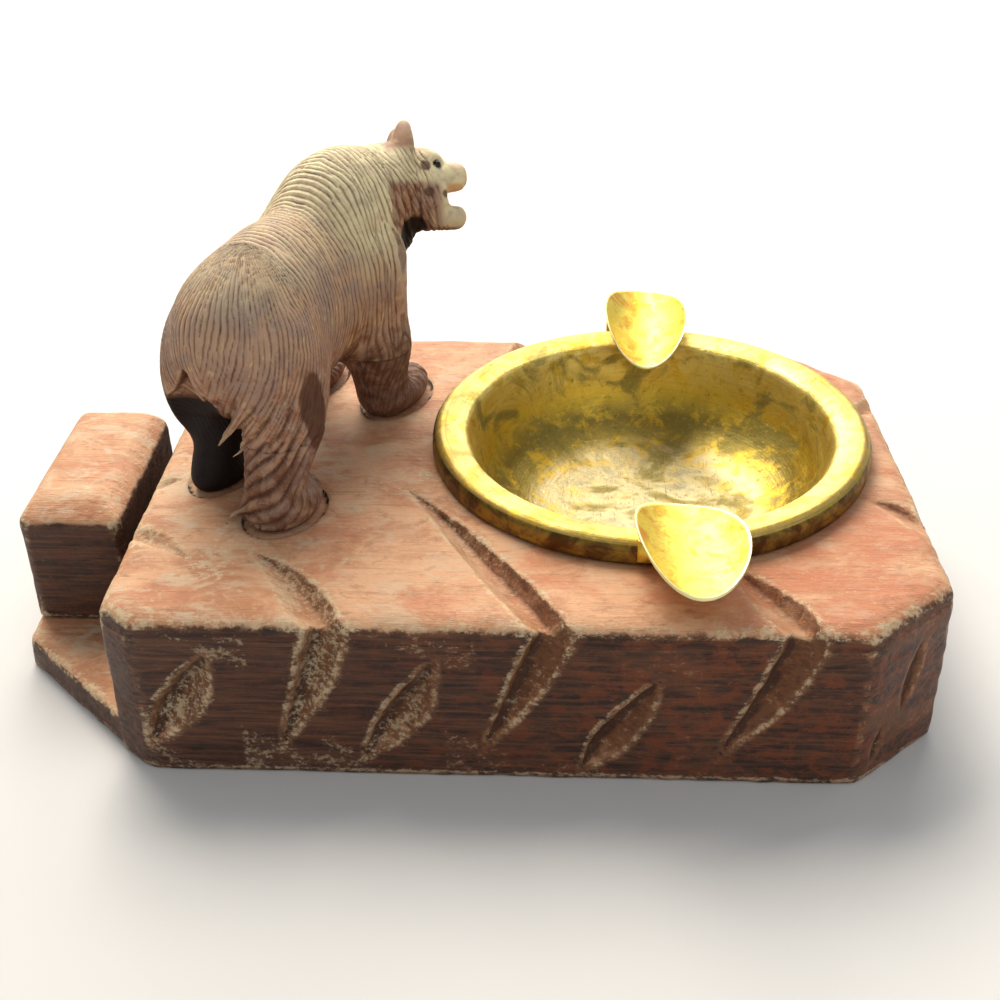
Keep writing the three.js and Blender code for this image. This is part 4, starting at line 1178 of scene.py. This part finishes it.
        # Thigh locks: wider furrows that gather toward the pointed ends.
        lock_zone = (t > 0) * ramp(s, -14, -22) * ramp(h, 33, 29) * ramp(h, 17, 20)
        lock_line = (u + 0.6 * lumps(q, (5, 5, 5), 43)) / 4.2
        lock_groove = np.abs(2 * (lock_line - np.floor(lock_line)) - 1)
        push = push - 0.75 * lock_zone * lock_groove**2.2
        # Cheek furrows, deeper and wider than the coat.
        furrow_line = (p[:, 0] + 0.22 * p[:, 2] + 0.5 * lumps(p, (4, 4, 4), 42)) / 2.1
        furrow = np.abs(2 * (furrow_line - np.floor(furrow_line)) - 1)
        push = push - 0.6 * cheek * furrow**1.6
        # Toes: four cuts in the front of each paw.
        toes = np.zeros(len(q))
        for leg in self.legs:
            for (ls, lt), reach in ((leg.hind, 5.5), (leg.fore, 5.5)):
                ds, dt = s - ls - reach, t - lt - 0.5 * leg.side
                angle = np.arctan2(dt, ds + 3.5) / 0.42
                here = ramp(ds, 0.0, 2.0) * (np.abs(dt) < 8.5) * (ds < 12) * ramp(h, 6.5, 5.0)
                near = np.abs(angle - np.round(angle - 0.5) - 0.5)
                toes = np.maximum(toes, here * ramp(near, 0.22, 0.0))
        push = push - 0.8 * toes
        points = skin.points + skin.normals * push[:, None]
        # Painted shade, in the dark value: the left hind leg and the hollow under the rump, the throat under the jaw,
        # faces that turn downward, the lower legs under the belly, the eye sockets, the nostrils and the undercut
        # behind each ear. A patch on the outer right thigh and the floors of the cheek, toe, shank and thigh-lock
        # grooves are darkened as well.
        down = ramp(turned[:, 2], -0.15, -0.75)
        fore_low = ramp(h, 34, 16) * (s > 8)
        hind_low = ramp(h, 26, 12) * (t > 0) * (s < 0)
        facet = ramp(np.hypot(s + 24.5, (h - 24.5) * 0.55), 6.5, 4.5) * (t > 12)
        throat = ramp(np.linalg.norm((p - (0.5, 2.0, -13.5)) / (4.5, 9, 6.0), axis=1), 1.0, 0.7)
        dark = np.clip(np.maximum.reduce([
            1.0 * left_leg, 1.0 * hollow, 0.95 * throat, 0.5 * fore_low, 0.36 * hind_low, 0.55 * down, 0.7 * facet,
            0.55 * cheek * furrow**1.5, 0.5 * toes, 0.62 * shank * on_wrap * groove**1.6,
            0.5 * lock_zone * lock_groove**2,
            0.7 * ramp(np.linalg.norm((np.abs(p) - (8.4, 4.9, 3.9)) / (2.6, 1.8, 1.5), axis=1), 1.0, 0.5),
            0.9 * ramp(np.linalg.norm((np.abs(p) - (15.9, 1.5, 1.5)) / (1.4, 1.0, 1.0), axis=1), 1.0, 0.5),
            0.6 * ramp(np.linalg.norm((np.abs(p) - (4.2, 7.4, 3.4)) / (2.0, 3.4, 1.8), axis=1), 1.0, 0.6),
        ]), 0, 1)
        bead = ramp(np.linalg.norm((np.abs(p) - (7.6, 4.45, 3.7)), axis=1), 1.3, 1.05) * (p[:, 0] > 0) * (p[:, 2] > 0)
        warm = ramp(np.linalg.norm((np.abs(p) * (1, 1, 0) + p * (0, 0, 1) - (11.5, 2.5, -3.2)) / (5, 3.5, 2.6), axis=1),
                    1.0, 0.6) * (p[:, 0] > 4)
        # Paler toward the top of the shoulders and neck: partly dust, partly a painted highlight where the light from
        # above falls.
        pale = np.clip(ramp(h, 36, 56) * ramp(s, 2, 16) + 0.4 * ramp(h, 46, 56), 0, 1) * (1 - cheek) * (1 - ear)
        red = np.clip(ramp(h, 46, 30) + cheek + 0.5 * ear, 0, 1)
        cutting = np.clip(depth / 0.36, 0, 1)
        shown = np.clip(ridge * (1 - face) + 0.85 * face, 0, 1)
        shown = shown * (1 - ear) + 0.7 * ear
        shown = np.where(shank * on_wrap > 0.5, 1 - groove**1.5, shown)
        shown = shown * (1 - foot) + 0.6 * foot
        piece = mesh_object("carved_bear", points, skin.quads, {
            "edge": edge, "ridge": shown, "dark": dark, "warm": warm, "pale": pale, "red": red, "bead": bead,
            "lanes": lanes, "run": v, "cutting": cutting})
        hand_over(piece, "bear", Slot.BEAR, finish.build())
        return piece


# ---------------------------------------------------------------- brass


@dataclass
class BrassBowl:
    """Spun bowl: outer band, rounded shoulder, rim that falls inward, deep wall and flat floor."""

    centre: tuple = (44.5, 8.3)
    around: int = 256
    profile: tuple = (
        (0, 23.0), (22.2, 23.35), (30.5, 24.8), (37.9, 28.8), (43.2, 35.5), (45.8, 42.8), (46.9, 46.3),
        (52.4, 48.1), (53.6, 47.1), (53.8, 43.4), (55, 43.4), (55, 46.9), (54.1, 48.6), (52.4, 49.5),
        (47, 48.2), (45.8, 47), (44.6, 43), (42, 36), (37, 29.8), (30, 26), (22, 24.6), (0, 24.2))

    def rounded(self) -> Array:
        """The profile with its corners cut twice, so that it reads as spun sheet."""
        line = np.array(self.profile, float)
        for _ in range(3):
            a, b = line[:-1], line[1:]
            line = np.concatenate([line[:1], np.stack([0.8 * a + 0.2 * b, 0.2 * a + 0.8 * b], 1).reshape(-1, 2),
                                   line[-1:]])
        return line

    def build(self, finish: SpunBrass) -> bpy.types.Object:
        """Spins the bowl with the slight dents of use, and dresses it."""
        line = self.rounded()
        n, m = len(line), self.around
        turn = np.linspace(0, 2 * math.pi, m, endpoint=False)
        r, z = line[1:-1, 0], line[1:-1, 1]
        ring = np.stack([np.outer(r, np.cos(turn)), np.outer(r, np.sin(turn)), np.outer(z, np.ones(m))], axis=-1)
        points = ring.reshape(-1, 3)
        along = np.repeat(np.concatenate([[0], np.cumsum(np.hypot(*np.diff(line[1:-1], axis=0).T))]), m)
        outer = np.repeat(ramp(np.arange(n - 2), 0.64 * n, 0.60 * n) * (r > 53.2) * (z < 48.3), m).astype(float)
        inside = np.repeat(np.arange(n - 2) > 0.55 * n, m)
        rr = np.hypot(points[:, 0], points[:, 1])
        # Knocks and wear leave the sheet a tenth of a millimetre out of true.
        dent = 0.16 * lumps(points, (17, 17, 14), 51) + 0.06 * lumps(points, (6, 6, 6), 52)
        shrink = 1 - np.clip(np.abs(dent) * np.where(rr > 50, 1.0, 0.5), 0, 0.3) / np.maximum(rr, 20)
        points = np.stack([points[:, 0] * shrink, points[:, 1] * shrink,
                           points[:, 2] + np.where(inside & (rr < 47), 0.5 * dent, -0.3 * np.abs(dent))], axis=1)
        points = np.concatenate([points, [[0, 0, line[0, 1]], [0, 0, line[-1, 1]]]])
        rows = np.arange((n - 3) * m).reshape(n - 3, m)
        nxt = np.roll(rows, -1, axis=1)
        quads = np.stack([rows, nxt, nxt + m, rows + m], axis=-1).reshape(-1, 4)
        first, last = len(points) - 2, len(points) - 1
        end = (n - 3) * m
        caps = [(first, (i + 1) % m, i) for i in range(m)] + [(last, end + i, end + (i + 1) % m) for i in range(m)]
        spun = np.stack([np.tile(turn, n - 2) * 50, along, np.zeros(len(along))], axis=1)
        points[:, :2] += self.centre
        piece = mesh_object("spun_bowl", points, [*quads.tolist(), *caps], {
            "radius": np.append(rr * 1.0, [0.0, 0.0]), "outer": np.append(outer, [0.0, 0.0]),
            "spun": np.concatenate([spun, np.zeros((2, 3))])})
        hand_over(piece, "brass_bowl", Slot.BOWL, finish.build())
        return piece


@dataclass
class CigaretteRest:
    """Oval of sheet bent to a trough over the rim, with a clip that hugs the outer band."""

    node: str
    name: str
    angle: float
    reach: float
    half_width: float
    half_length: float
    curl: float
    tilt: float
    roll: float
    seed: int
    centre: tuple = (44.5, 8.3)
    rim_top: float = 49.5
    rim_radius: float = 55.0
    thickness: float = 0.9

    def plate(self) -> tuple[Array, list, Array]:
        """Corners, faces and edge marks of the bent oval, before it is set on the rim."""
        rings, around = 14, 120
        theta = np.linspace(0, 2 * math.pi, around, endpoint=False)
        rows, marks = [], []
        layers = [(k / rings, 0.0) for k in range(1, rings)] + [(0.985, 0.0), (1.0, 0.25), (1.0, 0.75), (0.985, 1.0)]
        layers += [(k / rings, 1.0) for k in range(rings - 1, 0, -1)]
        for rho, lift in layers:
            x, y = self.half_width * rho * np.cos(theta), self.half_length * rho * np.sin(theta)
            q = np.stack([x, y, np.full(around, float(self.seed))], axis=1)
            bend = self.curl * (x / self.half_width) ** 2 + 0.6 * rho**2
            bend = bend + (0.10 * lumps(q, (6, 6, 1), self.seed) + 0.04 * lumps(q, (2.4, 2.4, 1), self.seed + 1)) * (1 - rho**3)
            rows.append(np.stack([x, y, bend + lift * self.thickness], axis=1))
            marks.append(np.full(around, ramp(np.array([rho]), 0.955, 0.995)[0]))
        points = np.concatenate([*rows, [[0, 0, 0.0]], [[0, 0, self.thickness]]])
        faces = []
        for k in range(len(layers) - 1):
            for i in range(around):
                a, b = k * around + i, k * around + (i + 1) % around
                faces.append((a, a + around, b + around, b)[::-1])
        first, last, end = len(points) - 2, len(points) - 1, (len(layers) - 1) * around
        for i in range(around):
            j = (i + 1) % around
            faces.append((first, j, i))
            faces.append((last, end + i, end + j))
        return points, faces, np.concatenate([*marks, [0.0, 0.0]])

    def build(self, finish: BentBrass) -> bpy.types.Object:
        """Bends the plate, adds the clip, sets both on the rim and dresses them."""
        points, faces, edge = self.plate()
        turn = (Matrix.Rotation(math.radians(self.tilt), 3, "X") @ Matrix.Rotation(math.radians(self.roll), 3, "Y"))
        points = points @ np.array(turn).T
        a = math.radians(self.angle)
        spin = np.array(Matrix.Rotation(a - math.pi / 2, 3, "Z"))
        points = points @ spin.T + (self.reach * math.cos(a), self.reach * math.sin(a), self.rim_top + 0.65)
        inner, outer = self.rim_radius + 0.3, self.rim_radius + 1.2
        top = self.rim_top + 1.1 + (outer - self.reach) * math.sin(math.radians(self.tilt))
        low, soft, spans = self.rim_top - 4.5, 0.28, 24
        section = [(inner, low + soft), (inner + soft, low), (outer - soft, low), (outer, low + soft),
                   (outer, top), (inner, top)]
        start = len(points)
        arc = []
        for k in range(spans + 1):
            turn_to = a + math.radians(10.5) * (1 - 2 * k / spans)
            arc += [(r * math.cos(turn_to), r * math.sin(turn_to), z) for r, z in section]
        c = len(section)
        for k in range(spans):
            for i in range(c):
                b0, b1 = start + k * c + i, start + k * c + (i + 1) % c
                faces.append((b0, b1, b1 + c, b0 + c))
        faces.append(tuple(start + i for i in reversed(range(c))))
        faces.append(tuple(start + spans * c + i for i in range(c)))
        points = np.concatenate([points, arc])
        points[:, :2] += self.centre
        piece = mesh_object(self.name, points, faces, {"edge": np.concatenate([edge, np.full(len(arc), 0.2)])})
        hand_over(piece, self.node, Slot.REST, finish.build())
        return piece


# ---------------------------------------------------------------- studio


@dataclass
class Studio:
    """Pale floor, a large soft lamp above and behind, a weak fill, and the camera at the viewing angle."""

    eye: tuple = (24.38, -306.55, 226.95)
    down: float = 32.62
    left: float = 3.29
    roll: float = -0.94
    lens: float = 51.33

    def build(self) -> None:
        """Lays the floor, hangs the lamps and sets the camera."""
        bpy.ops.mesh.primitive_plane_add(size=6.0)
        floor = bpy.context.object
        floor.name = "studio_floor"
        bench = Bench("pale_studio_paper")
        floor.data.materials.append(bench.finish(linear("#d9d8d5"), 0.85))
        for name, at, size, power, colour in (("key_lamp", (-0.35, 0.75, 1.15), 0.8, 24.0, "#fff6ea"),
                                              ("back_panel", (0.1, 1.7, 0.85), 1.6, 26.0, "#fffaf2"),
                                              ("fill_lamp", (0.7, -0.9, 0.8), 1.2, 3.0, "#f4f6ff")):
            lamp = bpy.data.lights.new(name, "AREA")
            lamp.size, lamp.energy, lamp.color = size, power, linear(colour)[:3]
            item = bpy.data.objects.new(name, lamp)
            item.location = at
            item.rotation_euler = (Vector((0, 0, 0.03)) - Vector(at)).to_track_quat("-Z", "Y").to_euler()
            bpy.context.scene.collection.objects.link(item)
        world = bpy.data.worlds.new("studio_air")
        world.use_nodes = True
        world.node_tree.nodes["Background"].inputs["Color"].default_value = linear("#eef0f2")
        world.node_tree.nodes["Background"].inputs["Strength"].default_value = 0.45
        bpy.context.scene.world = world
        bpy.context.scene.view_settings.view_transform = "Standard"
        self.set_camera()

    def set_camera(self) -> None:
        """Sets the camera from its place and its three angles."""
        pitch, yaw, roll = math.radians(self.down), -math.radians(self.left), math.radians(self.roll)
        ahead = Vector((math.sin(yaw) * math.cos(pitch), math.cos(yaw) * math.cos(pitch), -math.sin(pitch)))
        right = Vector((math.cos(yaw), -math.sin(yaw), 0))
        up = right.cross(ahead)
        across, above = right * math.cos(roll) + up * math.sin(roll), up * math.cos(roll) - right * math.sin(roll)
        data = bpy.data.cameras.new("viewpoint")
        data.lens, data.sensor_width, data.sensor_fit, data.clip_start = self.lens, 36.0, "HORIZONTAL", 0.01
        camera = bpy.data.objects.new("viewpoint", data)
        turn = Matrix((across, above, -ahead)).transposed().to_4x4()
        camera.matrix_world = Matrix.Translation(Vector(self.eye) * MM) @ turn
        bpy.context.scene.collection.objects.link(camera)
        bpy.context.scene.camera = camera


def main() -> None:
    """Builds and dresses the pieces in order, then sets up the studio."""
    logging.basicConfig(level=logging.INFO, format="%(message)s")
    bear = Bear()
    WoodBase(paw_beds=bear.paw_beds()).build(StainedWood("gouged_limewood_spirit_stain"))
    MatchBlock().build(StainedWood("planed_limewood_spirit_stain", warm_x=400.0))
    bear.build(CarvedCoat("carved_limewood_coat"))
    BrassBowl().build(SpunBrass("spun_brass_unlacquered"))
    brass = BentBrass("bent_sheet_brass")
    CigaretteRest("cigarette_rest_front", "front_rest", -84.5, 60.0, 12.5, 18.2, 5.4, 0, -7, 61).build(brass)
    CigaretteRest("cigarette_rest_back", "back_rest", 90, 49.5, 11.4, 18.4, 6.2, 10, 4, 67).build(brass)
    Studio().build()


if __name__ == "__main__":
    main()
